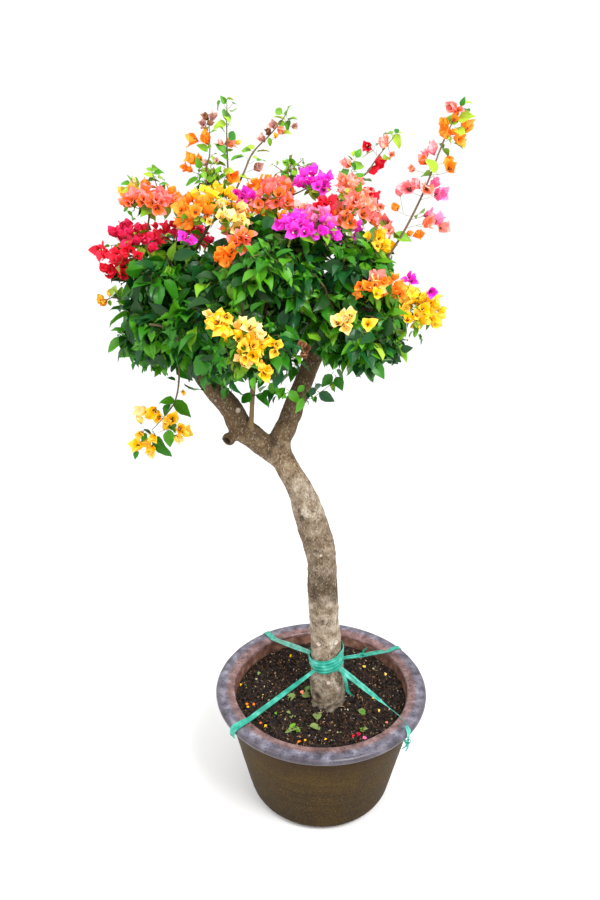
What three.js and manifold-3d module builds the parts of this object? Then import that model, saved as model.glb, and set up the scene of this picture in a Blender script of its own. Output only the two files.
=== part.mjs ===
// A standard (tree-form) bougainvillea in a glazed pot, tied down with plastic ribbon.
// Millimetres, +Z up, front towards -Y. The origin is the centre of the pot's flat underside.
import * as THREE from 'three';
import { mergeVertices } from 'three/addons/utils/BufferGeometryUtils.js';
import Module from 'manifold-3d';

const wasm = await Module();
wasm.setup();

// ---- Driving dimensions ----
const GAP = 0.3; // clearance between solids that touch

const POT_HEIGHT = 315;
const RIM_RADIUS = 280; // outer edge of the lip
const MOUTH_RADIUS = 230; // inner edge of the lip
const NECK_RADIUS = 256; // body just under the lip
const FOOT_RADIUS = 195;
const FOOT_CORNER = 30; // rounding of the lower edge
const LIP_DEPTH = 22;
const POT_WALL = 24;
const SOIL_LEVEL = 278;
const POT_SIDES = 40;

const FLARE_RADIUS = 52; // trunk where it meets the soil
const TRUNK_RADIUS = 38;
const TRUNK_FOOT = [18, -30];

const TIE_WIDTH = 14;
const TIE_THICKNESS = 1.6;
const WRAP_LOW = 378; // band of ribbon round the trunk
const WRAP_HIGH = 452;
const WRAP_RADIUS = 46;

const UNEVEN = 0.13; // how far a mass bulges and dips, as a share of its size
const BROAD_MASS = 100; // a mass with a half width over this has finer facets

// ---- Materials ----
const finish = (colour, roughness, metalness = 0) =>
  new THREE.MeshStandardMaterial({ color: colour, roughness, metalness });

const FINISHES = {
  potGlaze: () => finish(0x594f45, 0.45),
  soil: () => finish(0x2a211c, 0.95),
  bark: () => finish(0x8d8073, 0.85),
  twig: () => finish(0x6f6a3c, 0.7),
  ribbon: () => finish(0x2fc3a5, 0.35),
  leaf: () => finish(0x2b6b2f, 0.5),
  redBract: () => finish(0xc81426, 0.6),
  orangeBract: () => finish(0xf07a2e, 0.6),
  salmonBract: () => finish(0xf2906e, 0.6),
  yellowBract: () => finish(0xf6bf23, 0.6),
  magentaBract: () => finish(0xd92bb5, 0.6),
};

// ---- Helpers ----
const bush = new THREE.Group();

function addMesh(name, geometry, material) {
  const mesh = new THREE.Mesh(geometry, material);
  mesh.name = name;
  bush.add(mesh);
}

function weld(geometry) {
  const bare = geometry.clone();
  bare.deleteAttribute('normal');
  bare.deleteAttribute('uv');
  return mergeVertices(bare, 1e-4);
}

function toSolid(geometry) {
  const welded = weld(geometry);
  return new wasm.Manifold(
    new wasm.Mesh({
      numProp: 3,
      vertProperties: new Float32Array(welded.attributes.position.array),
      triVerts: new Uint32Array(welded.index.array),
    }),
  );
}

function toGeometry(solid) {
  const { vertProperties, triVerts } = solid.getMesh();
  const geometry = new THREE.BufferGeometry();
  geometry.setAttribute('position', new THREE.BufferAttribute(new Float32Array(vertProperties), 3));
  geometry.setIndex(new THREE.BufferAttribute(new Uint32Array(triVerts), 1));
  geometry.computeVertexNormals();
  return geometry;
}

// A cut can leave crumbs beside the main piece, which is the one to keep.
function largestPiece(solid) {
  return solid.decompose().reduce((best, piece) => (piece.volume() > best.volume() ? piece : best));
}

function cutBy(solid, cutters) {
  return largestPiece(cutters.reduce((rest, cutter) => rest.subtract(cutter), solid));
}

const vector = ([x, y, z]) => new THREE.Vector3(x, y, z);
const smoothCurve = (points) => new THREE.CatmullRomCurve3(points.map(vector), false, 'centripetal');

// A closed round bar swept along a curve, with its radius worked out along the way.
// Growth thickens it all round and lengthens it at both ends.
function sweep(curve, radiusAt, { sides, steps }, grow) {
  const geometry = new THREE.CylinderGeometry(1, 1, 1, sides, steps);
  const position = geometry.attributes.position;
  const reference = new THREE.Vector3(0, 1, 0);
  for (let i = 0; i < position.count; i += 1) {
    const t = position.getY(i) + 0.5;
    const x = position.getX(i);
    const z = position.getZ(i);
    const reach = Math.hypot(x, z);
    const angle = Math.atan2(z, x);
    const tangent = curve.getTangentAt(t);
    const side = reference.clone().addScaledVector(tangent, -reference.dot(tangent)).normalize();
    const other = tangent.clone().cross(side);
    const radius = reach * (radiusAt(t) + grow);
    const lengthening = grow * ((t >= 1 ? 1 : 0) - (t <= 0 ? 1 : 0));
    const point = curve
      .getPointAt(t)
      .addScaledVector(tangent, lengthening)
      .addScaledVector(side, -radius * Math.sin(angle))
      .addScaledVector(other, -radius * Math.cos(angle));
    position.setXYZ(i, point.x, point.y, point.z);
  }
  return geometry;
}

// Reads a value that changes along a limb from evenly spaced samples.
function along(samples, t) {
  const place = t * (samples.length - 1);
  const low = Math.min(Math.floor(place), samples.length - 2);
  return THREE.MathUtils.lerp(samples[low], samples[low + 1], place - low);
}

function limb({ path, radii, sides, steps }, grow = 0) {
  return toSolid(sweep(smoothCurve(path), (t) => along(radii, t), { sides, steps }, grow));
}

// ---- Pot and soil ----
function arc(centreR, centreZ, radius, from, to, count) {
  return Array.from({ length: count + 1 }, (_, i) => {
    const angle = THREE.MathUtils.degToRad(THREE.MathUtils.lerp(from, to, i / count));
    return new THREE.Vector2(centreR + radius * Math.cos(angle), centreZ + radius * Math.sin(angle));
  });
}

const WALL_LEAN = (NECK_RADIUS - FOOT_RADIUS) / (POT_HEIGHT - LIP_DEPTH);
const innerRadiusAt = (z) => FOOT_RADIUS + z * WALL_LEAN - POT_WALL;

function potGeometry() {
  const lipEdge = LIP_DEPTH / 2;
  const profile = [
    new THREE.Vector2(0, 0),
    ...arc(FOOT_RADIUS - FOOT_CORNER, FOOT_CORNER, FOOT_CORNER, -90, -10, 3),
    new THREE.Vector2(NECK_RADIUS, POT_HEIGHT - LIP_DEPTH),
    ...arc(RIM_RADIUS - lipEdge, POT_HEIGHT - lipEdge, lipEdge, -60, 80, 4),
    ...arc(MOUTH_RADIUS + 6, POT_HEIGHT - 9, 6, 100, 180, 2),
    new THREE.Vector2(innerRadiusAt(SOIL_LEVEL), SOIL_LEVEL),
    new THREE.Vector2(innerRadiusAt(POT_WALL), POT_WALL),
    new THREE.Vector2(0, POT_WALL),
  ];
  return new THREE.LatheGeometry(profile, POT_SIDES);
}

// The lathe's flats cut inside its true circle, so the soil stands back from the wall by that sagitta.
function soilGeometry() {
  const sagitta = 1 - Math.cos(Math.PI / POT_SIDES);
  const reach = (z) => innerRadiusAt(z) * (1 - sagitta) - GAP;
  const base = POT_WALL + GAP;
  const profile = [
    new THREE.Vector2(0, base),
    new THREE.Vector2(reach(base), base),
    new THREE.Vector2(reach(SOIL_LEVEL), SOIL_LEVEL),
    new THREE.Vector2(0, SOIL_LEVEL),
  ];
  return new THREE.LatheGeometry(profile, POT_SIDES);
}

const upright = (geometry) => geometry.rotateX(Math.PI / 2);

addMesh('pot', upright(potGeometry()), FINISHES.potGlaze());
addMesh('soil', upright(soilGeometry()), FINISHES.soil());

// ---- Trunk and limbs ----
const SOIL_SEAT = SOIL_LEVEL + GAP;
const FOOT_TRIM = 15; // length of the swept foot that the flat cut at soil level takes off
const FORK = [-96, -15, 962];

const TRUNK = {
  path: [
    [...TRUNK_FOOT, SOIL_SEAT - FOOT_TRIM],
    [14, -29, 400],
    [4, -26, 560],
    [-5, -23, 715],
    [-28, -21, 800],
    [-55, -18, 885],
    FORK,
  ],
  radii: [FLARE_RADIUS, 42, 41, TRUNK_RADIUS, TRUNK_RADIUS, TRUNK_RADIUS, 37, 38, 37, 30, 27, 26],
  sides: 12,
  steps: 17,
};

const LIMB_LEFT = {
  path: [FORK, [-150, -17, 1003], [-192, -22, 1040], [-222, -28, 1090], [-276, -32, 1156], [-304, -30, 1232]],
  radii: [26, 25, 28, 26, 24, 23, 21],
  sides: 10,
  steps: 8,
};

const LIMB_RIGHT = {
  path: [FORK, [-104, -12, 1004], [-84, -4, 1045], [-66, 4, 1083], [0, 25, 1240]],
  radii: [24, 26, 24, 22, 20, 18],
  sides: 10,
  steps: 8,
};

const LIMB_STUB = {
  path: [[-195, -24, 1030], [-230, -34, 1021]],
  radii: [13, 10.5],
  sides: 8,
  steps: 1,
};

const STEM_UPRIGHT = {
  path: [[-160, -26, 1005], [-165, -40, 1060], [-150, -100, 1240]],
  radii: [7.5, 6, 5.5],
  sides: 6,
  steps: 5,
};

// ---- Crown: foliage masses and the clusters of coloured bracts that stand on them ----
const CROWN = [
  { name: 'foliage_centre', at: [-135, -10, 1385], size: [165, 215, 120], finish: 'leaf' },
  { name: 'foliage_left', at: [-362, -15, 1290], size: [108, 160, 92], finish: 'leaf' },
  { name: 'foliage_front', at: [-175, -165, 1270], size: [148, 125, 105], finish: 'leaf' },
  { name: 'foliage_right', at: [60, -30, 1285], size: [130, 165, 92], finish: 'leaf' },
  { name: 'foliage_left_high', at: [-340, -10, 1400], size: [92, 150, 75], finish: 'leaf' },
  { name: 'foliage_right_high', at: [60, -10, 1398], size: [92, 155, 80], finish: 'leaf' },
  { name: 'foliage_back_left', at: [-270, 170, 1275], size: [145, 125, 100], finish: 'leaf' },
  { name: 'foliage_back_right', at: [-25, 180, 1275], size: [145, 120, 100], finish: 'leaf' },
  { name: 'bloom_red_left', at: [-400, -60, 1446], size: [86, 80, 52], finish: 'redBract' },
  { name: 'bloom_salmon_left', at: [-358, -10, 1530], size: [76, 85, 38], finish: 'salmonBract' },
  { name: 'bloom_yellow_top', at: [-235, -60, 1500], size: [82, 95, 62], finish: 'yellowBract' },
  { name: 'bloom_orange_top', at: [-118, 10, 1535], size: [66, 95, 52], finish: 'orangeBract' },
  { name: 'bloom_magenta_high', at: [-25, -5, 1562], size: [52, 58, 42], finish: 'magentaBract' },
  { name: 'bloom_magenta_front', at: [-45, -110, 1485], size: [76, 75, 46], finish: 'magentaBract' },
  { name: 'bloom_orange_right', at: [56, 0, 1515], size: [60, 100, 72], finish: 'salmonBract' },
  { name: 'bloom_yellow_right', at: [105, -40, 1438], size: [46, 65, 42], finish: 'yellowBract' },
  { name: 'bloom_orange_side', at: [95, -120, 1370], size: [58, 58, 48], finish: 'orangeBract' },
  { name: 'bloom_yellow_side', at: [180, -45, 1302], size: [80, 75, 72], finish: 'yellowBract' },
  { name: 'bloom_yellow_front', at: [-163, -258, 1272], size: [72, 50, 72], finish: 'yellowBract' },
  { name: 'bloom_red_back', at: [-345, 150, 1445], size: [95, 80, 55], finish: 'redBract' },
  { name: 'bloom_orange_back', at: [-170, 190, 1480], size: [95, 80, 60], finish: 'orangeBract' },
  { name: 'bloom_magenta_back', at: [10, 175, 1455], size: [95, 80, 60], finish: 'magentaBract' },
  { name: 'bloom_yellow_back', at: [-70, 280, 1335], size: [85, 50, 70], finish: 'yellowBract' },
  { name: 'leaves_top_left', at: [-235, 15, 1578], size: [52, 52, 42], finish: 'leaf' },
  { name: 'leaves_top_middle', at: [-75, 55, 1600], size: [50, 46, 32], finish: 'leaf' },
];

// Long shoots that rise clear of the crown, and the one spray that hangs under it.
// Each knot of leaves and bracts on a shoot is [x, y, z, radius, stretch upwards].
const SHOOTS = [
  {
    name: 'left_tall',
    path: [[-205, 25, 1585], [-204, 30, 1650], [-203, 30, 1712]],
    knots: [[-203, 30, 1714, 24, 1]],
    finish: 'leaf',
  },
  {
    name: 'left_short',
    path: [[-244, -5, 1590], [-243, -10, 1640], [-238, -15, 1690]],
    knots: [[-240, -15, 1678, 24, 1.2], [-264, -6, 1632, 30, 1]],
    finish: 'orangeBract',
  },
  {
    name: 'middle',
    path: [[-205, 25, 1550], [-158, 62, 1625], [-115, 80, 1675], [-85, 88, 1712]],
    knots: [[-92, 86, 1704, 38, 0.9], [-146, 68, 1640, 30, 0.8]],
    finish: 'leaf',
  },
  {
    name: 'far_left',
    path: [[-365, 30, 1545], [-358, 35, 1580], [-356, 38, 1605]],
    knots: [[-360, 36, 1592, 30, 0.9]],
    finish: 'leaf',
  },
  {
    name: 'right',
    path: [[52, 20, 1560], [80, 35, 1605], [105, 45, 1640], [150, 55, 1690]],
    knots: [[138, 52, 1678, 30, 0.8], [95, 42, 1622, 38, 1]],
    finish: 'redBract',
  },
  {
    name: 'tall_right',
    path: [[125, -40, 1430], [168, -38, 1495], [205, -36, 1560], [232, -34, 1630], [265, -30, 1712]],
    knots: [
      [260, -30, 1690, 38, 1.2],
      [224, -35, 1622, 38, 1],
      [196, -40, 1552, 40, 0.8],
      [232, -36, 1500, 34, 0.8],
    ],
    finish: 'salmonBract',
  },
  {
    name: 'side_left',
    path: [[-415, 10, 1325], [-450, 6, 1336], [-478, 2, 1332]],
    knots: [[-472, 2, 1333, 24, 0.8]],
    finish: 'yellowBract',
  },
  {
    name: 'hanging',
    path: [[-336, -62, 1230], [-334, -60, 1160], [-350, -60, 1095]],
    knots: [[-368, -62, 1046, 68, 0.95]],
    finish: 'yellowBract',
  },
];
const SHOOT_RADII = [4.5, 4, 3, 2];

// A seeded sum of waves gives each mass bulges and hollows of its own.
function massSolid({ at, size, name }, grow = 0) {
  const random = seededRandom(name);
  const waves = Array.from({ length: 5 }, (_, i) => ({
    direction: new THREE.Vector3(random() - 0.5, random() - 0.5, random() - 0.5).normalize(),
    rate: 2.5 + i * 0.8,
    phase: random() * Math.PI * 2,
  }));
  const geometry = weld(new THREE.IcosahedronGeometry(1, size[0] > BROAD_MASS ? 2 : 1));
  const position = geometry.attributes.position;
  const ray = new THREE.Vector3();
  for (let i = 0; i < position.count; i += 1) {
    ray.fromBufferAttribute(position, i).normalize();
    const heights = waves.map((wave) => Math.sin(ray.dot(wave.direction) * wave.rate + wave.phase));
    const bulge = heights.reduce((sum, height) => sum + height, 0);
    const swell = 1 + (UNEVEN * bulge) / Math.sqrt(waves.length);
    const point = vector(size).multiply(ray).multiplyScalar(swell).addScaledVector(ray, grow);
    position.setXYZ(i, at[0] + point.x, at[1] + point.y, at[2] + point.z);
  }
  return toSolid(geometry);
}

function seededRandom(name) {
  let state = [...name].reduce((sum, letter) => (sum * 31 + letter.charCodeAt(0)) >>> 0, 7);
  return () => {
    state = (Math.imul(state, 1664525) + 1013904223) >>> 0;
    return state / 4294967296;
  };
}

const CLEAR = 2 * GAP; // growth of a cutter that leaves at least the gap on slanted faces
const crownCutters = CROWN.map((mass) => massSolid(mass, CLEAR));

function groundCutter() {
  const side = 6 * FLARE_RADIUS;
  const block = new THREE.BoxGeometry(side, side, 4 * FOOT_TRIM);
  return toSolid(block.translate(...TRUNK_FOOT, SOIL_SEAT - 2 * FOOT_TRIM));
}

const trunk = cutBy(limb(TRUNK), [groundCutter()]);
const limbLeft = cutBy(limb(LIMB_LEFT), [limb(TRUNK, CLEAR), ...crownCutters]);
const limbRight = cutBy(limb(LIMB_RIGHT), [limb(TRUNK, CLEAR), limb(LIMB_LEFT, CLEAR), ...crownCutters]);
const limbStub = cutBy(limb(LIMB_STUB), [limb(LIMB_LEFT, CLEAR)]);
const stemUpright = cutBy(limb(STEM_UPRIGHT), [limb(LIMB_LEFT, CLEAR), ...crownCutters]);

addMesh('trunk', toGeometry(trunk), FINISHES.bark());
addMesh('limb_left', toGeometry(limbLeft), FINISHES.bark());
addMesh('limb_right', toGeometry(limbRight), FINISHES.bark());
addMesh('limb_stub', toGeometry(limbStub), FINISHES.bark());
addMesh('stem_upright', toGeometry(stemUpright), FINISHES.twig());

CROWN.forEach((mass, i) => {
  const solid = cutBy(massSolid(mass), crownCutters.slice(0, i));
  addMesh(mass.name, toGeometry(solid), FINISHES[mass.finish]());
});

SHOOTS.forEach((shoot) => {
  const stem = { path: shoot.path, radii: SHOOT_RADII, sides: 5, steps: 4 };
  addMesh(`shoot_${shoot.name}`, toGeometry(cutBy(limb(stem), crownCutters)), FINISHES.twig());
  const cutters = [limb(stem, CLEAR), ...crownCutters];
  shoot.knots.forEach(([x, y, z, radius, stretch], i) => {
    const name = `sprig_${shoot.name}_${i + 1}`;
    const knot = { name, at: [x, y, z], size: [radius, radius, radius * stretch] };
    addMesh(name, toGeometry(cutBy(massSolid(knot), cutters)), FINISHES[shoot.finish]());
    cutters.push(massSolid(knot, CLEAR));
  });
});

// ---- Ribbon ties ----
// Each strap runs from the band on the trunk to the lip, over it and a little way down outside.
const STRAPS = [
  { name: 'back_left', heading: 124, height: 424 },
  { name: 'front_left', heading: 218, height: 390 },
  { name: 'back_right', heading: 34, height: 412 },
  { name: 'front_right', heading: 318, height: 388 },
];

function trunkAxisAt(z) {
  const curve = smoothCurve(TRUNK.path);
  let t = 0;
  while (t < 1 && curve.getPointAt(t).z < z) t += 0.002;
  return curve.getPointAt(t);
}

function wrapSolid() {
  const centre = trunkAxisAt((WRAP_LOW + WRAP_HIGH) / 2);
  const height = WRAP_HIGH - WRAP_LOW;
  const band = upright(new THREE.CylinderGeometry(WRAP_RADIUS, WRAP_RADIUS, height, 24));
  band.translate(centre.x, centre.y, centre.z);
  return toSolid(band).subtract(limb(TRUNK, CLEAR));
}

// The strip of even thickness that lies on a chain of [distance, height] points.
function stripShape(underside, thickness) {
  const low = underside.map(([r, z]) => new THREE.Vector2(r, z));
  const turnLeft = (from, to) => new THREE.Vector2(from.y - to.y, to.x - from.x).normalize();
  const high = low.map((point, i) => {
    const before = turnLeft(low[Math.max(i - 1, 0)], low[Math.max(i, 1)]);
    const after = turnLeft(low[Math.min(i, low.length - 2)], low[Math.min(i + 1, low.length - 1)]);
    const mitre = before.clone().add(after).normalize();
    return point.clone().addScaledVector(mitre, thickness / mitre.dot(after));
  });
  return new THREE.Shape([...low, ...high.reverse()]);
}

function strapGeometry({ heading, height }) {
  const angle = THREE.MathUtils.degToRad(heading);
  const centre = trunkAxisAt((WRAP_LOW + WRAP_HIGH) / 2);
  const origin = new THREE.Vector2(centre.x, centre.y);
  const rimPoint = new THREE.Vector2(RIM_RADIUS * Math.cos(angle), RIM_RADIUS * Math.sin(angle));
  const run = rimPoint.clone().sub(origin).normalize();
  const inward = origin.dot(run);
  const reach = (radius) => Math.sqrt(inward ** 2 - origin.lengthSq() + radius ** 2) - inward;
  const lift = 2 * GAP;
  const shape = stripShape(
    [
      [WRAP_RADIUS + GAP, height],
      [reach(MOUTH_RADIUS + 3), POT_HEIGHT + lift],
      [reach(RIM_RADIUS - LIP_DEPTH / 4), POT_HEIGHT + lift],
      [reach(RIM_RADIUS) + lift, POT_HEIGHT - LIP_DEPTH / 4],
      [reach(RIM_RADIUS) + lift, POT_HEIGHT - LIP_DEPTH - 8],
    ],
    TIE_THICKNESS,
  );
  const strap = new THREE.ExtrudeGeometry(shape, { depth: TIE_WIDTH, bevelEnabled: false });
  strap.translate(0, 0, -TIE_WIDTH / 2).rotateX(Math.PI / 2);
  return strap.rotateZ(run.angle()).translate(centre.x, centre.y, 0);
}

addMesh('tie_wrap', toGeometry(wrapSolid()), FINISHES.ribbon());
STRAPS.forEach((strap) => {
  addMesh(`tie_${strap.name}`, weld(strapGeometry(strap)), FINISHES.ribbon());
});

export default bush;
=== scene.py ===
"""A bougainvillea grown as a standard in a glazed pot, dressed around its CAD frame.

Metres, +Z up, front towards -Y. Wood, leaves and bracts grow from the frame's own limbs and masses.
"""

import math

import bmesh
import bpy
import numpy as np
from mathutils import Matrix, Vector, noise
from mathutils.bvhtree import BVHTree


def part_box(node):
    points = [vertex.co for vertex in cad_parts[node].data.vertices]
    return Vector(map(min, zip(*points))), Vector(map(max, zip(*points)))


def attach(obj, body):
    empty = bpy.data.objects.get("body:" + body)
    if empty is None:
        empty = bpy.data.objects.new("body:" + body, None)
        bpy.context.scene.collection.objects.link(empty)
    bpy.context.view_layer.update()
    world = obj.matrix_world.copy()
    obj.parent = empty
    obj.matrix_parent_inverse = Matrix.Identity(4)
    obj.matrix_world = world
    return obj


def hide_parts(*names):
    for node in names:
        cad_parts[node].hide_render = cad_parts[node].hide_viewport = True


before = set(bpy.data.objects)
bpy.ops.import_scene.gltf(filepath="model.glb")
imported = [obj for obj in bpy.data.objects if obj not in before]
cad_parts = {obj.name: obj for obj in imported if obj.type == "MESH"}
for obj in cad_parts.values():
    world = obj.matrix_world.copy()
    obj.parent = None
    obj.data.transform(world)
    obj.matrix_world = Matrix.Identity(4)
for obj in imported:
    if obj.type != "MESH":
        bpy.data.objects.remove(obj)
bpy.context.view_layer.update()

MM = 0.001
SEED = 20
rng = np.random.default_rng(SEED)
UP = np.array([0.0, 0.0, 1.0])
GOLDEN_ANGLE = math.radians(137.5)


# ---- Colour and shader nodes ----
def paint(code):
    """The linear colour of an sRGB hex value."""
    shares = [int(code[i : i + 2], 16) / 255 for i in (1, 3, 5)]
    return [c / 12.92 if c <= 0.04045 else ((c + 0.055) / 1.055) ** 2.4 for c in shares] + [1.0]


def add(tree, kind, inputs=None, stops=None, **settings):
    """Adds a node with its settings, its inputs (a value, or a socket to link) and its ramp's stops."""
    made = tree.nodes.new("ShaderNode" + kind)
    for name, value in settings.items():
        setattr(made, name, value)
    for name, value in (inputs or {}).items():
        if isinstance(value, bpy.types.NodeSocket):
            tree.links.new(value, made.inputs[name])
        else:
            made.inputs[name].default_value = value
    if stops:
        elements = made.color_ramp.elements
        elements[0].position, elements[1].position = stops[0][0], stops[-1][0]
        for place, _ in stops[1:-1]:
            elements.new(place)
        for element, (_, code) in zip(elements, stops):
            element.color = paint(code)
    return made


def new_material(name):
    made = bpy.data.materials.new(name)
    made.use_nodes = True
    made.node_tree.nodes.clear()
    return made


def finish_surface(tree, inputs):
    shader = add(tree, "BsdfPrincipled", inputs)
    add(tree, "OutputMaterial", {"Surface": shader.outputs[0]})


FINISHES = []


def keep(made):
    """Files a material, and gives the number that faces are laid with."""
    FINISHES.append(made)
    return len(FINISHES) - 1


def plain_finish(name, code, roughness, specular=0.5, glow=0.0):
    """One even colour, for blades so small that a pattern on them would not show.

    A thin papery blade lets the light behind it through, which the glow stands for.
    """
    made = new_material(name)
    inputs = {"Base Color": paint(code), "Roughness": roughness, "Specular IOR Level": specular}
    if glow:
        inputs.update({"Emission Color": paint(code), "Emission Strength": glow})
    finish_surface(made.node_tree, inputs)
    return keep(made)


# ---- Materials: pot, soil, bark, ribbon ----
BLACK, WHITE = "#000000", "#ffffff"


def iron_glaze():
    """Stoneware under a thin iron glaze: dull olive brown, faintly banded, finely speckled with iron."""
    made = new_material("iron_glazed_stoneware")
    tree = made.node_tree
    place = add(tree, "TexCoord").outputs["Object"]
    height = add(tree, "SeparateXYZ", {0: place}).outputs["Z"]
    # Painted shade: the wall's colour runs darker towards the foot and lighter towards the lip.
    climb = {"Value": height, "From Max": 270 * MM, "To Min": 0.4, "To Max": 0.8}
    rise = add(tree, "MapRange", climb).outputs[0]
    cloud = add(tree, "TexNoise", {"Vector": place, "Scale": 1 / (60 * MM), "Detail": 5.0}).outputs[0]
    rings = add(tree, "Mapping", {"Vector": place, "Scale": (0.06, 0.06, 1.0)}).outputs[0]
    bands = add(tree, "TexNoise", {"Vector": rings, "Scale": 1 / (9 * MM), "Detail": 3.0}).outputs[0]
    tone = add(tree, "Math", {0: rise, 1: cloud}, operation="ADD").outputs[0]
    banded = add(tree, "Math", {0: bands, 1: 0.7, 2: tone}, operation="MULTIPLY_ADD").outputs[0]
    share = add(tree, "Math", {0: banded, 1: 0.42}, operation="MULTIPLY").outputs[0]
    stops = [(0.2, "#181107"), (0.48, "#2c1f0c"), (0.66, "#402f13"), (0.85, "#52401d")]
    body = add(tree, "ValToRGB", {"Fac": share}, stops).outputs[0]
    # Real iron specks are under 1 mm. They are drawn coarser, so that they show.
    grit = add(tree, "TexNoise", {"Vector": place, "Scale": 1 / (2.6 * MM), "Detail": 3.0}).outputs[0]
    specks = add(tree, "ValToRGB", {"Fac": grit}, [(0.56, BLACK), (0.72, WHITE)]).outputs[0]
    part = add(tree, "Math", {0: specks, 1: 0.6}, operation="MULTIPLY").outputs[0]
    mixed = add(tree, "Mix", {0: part, 6: body, 7: paint("#80693a")}, data_type="RGBA").outputs[2]
    pits = add(tree, "ValToRGB", {"Fac": grit}, [(0.3, WHITE), (0.42, BLACK)]).outputs[0]
    dark = add(tree, "Mix", {0: pits, 6: mixed, 7: paint("#1c150b")}, data_type="RGBA").outputs[2]
    # Painted shadow of the lip: the wall just under it is mixed towards dark brown.
    neck = {"Value": height, "From Min": 215 * MM, "From Max": 290 * MM, "To Max": 0.85}
    painted_lip_shadow = add(tree, "MapRange", neck).outputs[0]
    lip_shadowed = add(tree, "Mix", {0: painted_lip_shadow, 6: dark, 7: paint("#332012")}, data_type="RGBA").outputs[2]
    shine = add(tree, "MapRange", {"Value": cloud, "To Min": 0.48, "To Max": 0.7}).outputs[0]
    bump = add(tree, "Bump", {"Height": grit, "Strength": 0.25, "Distance": 0.6 * MM}).outputs[0]
    inputs = {"Base Color": lip_shadowed, "Roughness": shine, "Normal": bump, "Specular IOR Level": 0.08}
    finish_surface(tree, inputs)
    return keep(made)


def lip_glaze():
    """The pot's lip: slate-mauve ash glaze, worn to pinkish clay inside, darker towards its outer edge."""
    made = new_material("ash_glazed_lip")
    tree = made.node_tree
    place = add(tree, "TexCoord").outputs["Object"]
    parts = add(tree, "SeparateXYZ", {0: place}).outputs
    across = add(tree, "CombineXYZ", {"X": parts["X"], "Y": parts["Y"]}).outputs[0]
    reach = add(tree, "VectorMath", {0: across}, operation="LENGTH").outputs["Value"]
    clouds = {"Vector": place, "Scale": 1 / (26 * MM), "Detail": 6.0, "Roughness": 0.66}
    cloud = add(tree, "TexNoise", clouds).outputs[0]
    stops = [(0.3, "#2c272e"), (0.42, "#4f4a57"), (0.53, "#6f6b7b"), (0.62, "#9694a3"), (0.72, "#c4c5ce")]
    glaze = add(tree, "ValToRGB", {"Fac": cloud}, stops).outputs[0]
    streak = add(tree, "TexNoise", {"Vector": place, "Scale": 1 / (13 * MM), "Detail": 4.0}).outputs[0]
    brown = add(tree, "ValToRGB", {"Fac": streak}, [(0.5, BLACK), (0.64, WHITE)]).outputs[0]
    part = add(tree, "Math", {0: brown, 1: 0.4}, operation="MULTIPLY").outputs[0]
    stained = add(tree, "Mix", {0: part, 6: glaze, 7: paint("#5c4a4e")}, data_type="RGBA").outputs[2]
    wander = add(tree, "Math", {0: streak, 1: 22 * MM, 2: -11 * MM}, operation="MULTIPLY_ADD").outputs[0]
    edge = add(tree, "Math", {0: reach, 1: wander}, operation="ADD").outputs[0]
    inner = {"Value": edge, "From Min": 246 * MM, "From Max": 256 * MM}
    outward = add(tree, "MapRange", inner).outputs[0]
    clays = [(0.36, "#553b3b"), (0.52, "#84625f"), (0.7, "#a88c8b")]
    clay = add(tree, "ValToRGB", {"Fac": cloud}, clays).outputs[0]
    worn = add(tree, "Mix", {0: outward, 6: clay, 7: stained}, data_type="RGBA").outputs[2]
    # Darker towards the lip's outer edge.
    outer_edge_band = {"Value": edge, "From Min": 268 * MM, "From Max": 281 * MM, "To Max": 0.7}
    outside = add(tree, "MapRange", outer_edge_band).outputs[0]
    rimmed = add(tree, "Mix", {0: outside, 6: worn, 7: paint("#3c3239")}, data_type="RGBA").outputs[2]
    spots = add(tree, "TexNoise", {"Vector": place, "Scale": 1 / (5 * MM), "Detail": 2.0}).outputs[0]
    iron = add(tree, "ValToRGB", {"Fac": spots}, [(0.63, BLACK), (0.68, WHITE)]).outputs[0]
    specked = add(tree, "Mix", {0: iron, 6: rimmed, 7: paint("#1a1517")}, data_type="RGBA").outputs[2]
    shine = add(tree, "MapRange", {"Value": streak, "To Min": 0.2, "To Max": 0.46}).outputs[0]
    bump = add(tree, "Bump", {"Height": streak, "Strength": 0.4, "Distance": 1.4 * MM}).outputs[0]
    finish_surface(tree, {"Base Color": specked, "Roughness": shine, "Normal": bump})
    return keep(made)


def bare_clay():
    """Unglazed red clay inside the mouth: warm brown, matt, dusted with potting mix."""
    made = new_material("unglazed_red_clay")
    tree = made.node_tree
    place = add(tree, "TexCoord").outputs["Object"]
    cloud = add(tree, "TexNoise", {"Vector": place, "Scale": 1 / (22 * MM), "Detail": 5.0}).outputs[0]
    stops = [(0.35, "#553529"), (0.52, "#7a5142"), (0.7, "#9c7563")]
    clay = add(tree, "ValToRGB", {"Fac": cloud}, stops).outputs[0]
    bump = add(tree, "Bump", {"Height": cloud, "Strength": 0.3, "Distance": 1.0 * MM}).outputs[0]
    finish_surface(tree, {"Base Color": clay, "Roughness": 0.8, "Normal": bump})
    return keep(made)


def potting_mix():
    """Damp bark compost: almost black, matt, with reddish fibre showing between the crumbs."""
    made = new_material("damp_potting_mix")
    tree = made.node_tree
    place = add(tree, "TexCoord").outputs["Object"]
    clods = {"Vector": place, "Scale": 1 / (8 * MM), "Detail": 6.0, "Roughness": 0.72}
    clod = add(tree, "TexNoise", clods).outputs[0]
    stops = [(0.36, "#080504"), (0.5, "#1a110c"), (0.6, "#3a271b"), (0.7, "#6d4c33"), (0.8, "#94704c")]
    earth = add(tree, "ValToRGB", {"Fac": clod}, stops).outputs[0]
    bump = add(tree, "Bump", {"Height": clod, "Strength": 0.9, "Distance": 3.0 * MM}).outputs[0]
    finish_surface(tree, {"Base Color": earth, "Roughness": 0.92, "Normal": bump})
    return keep(made)
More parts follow.
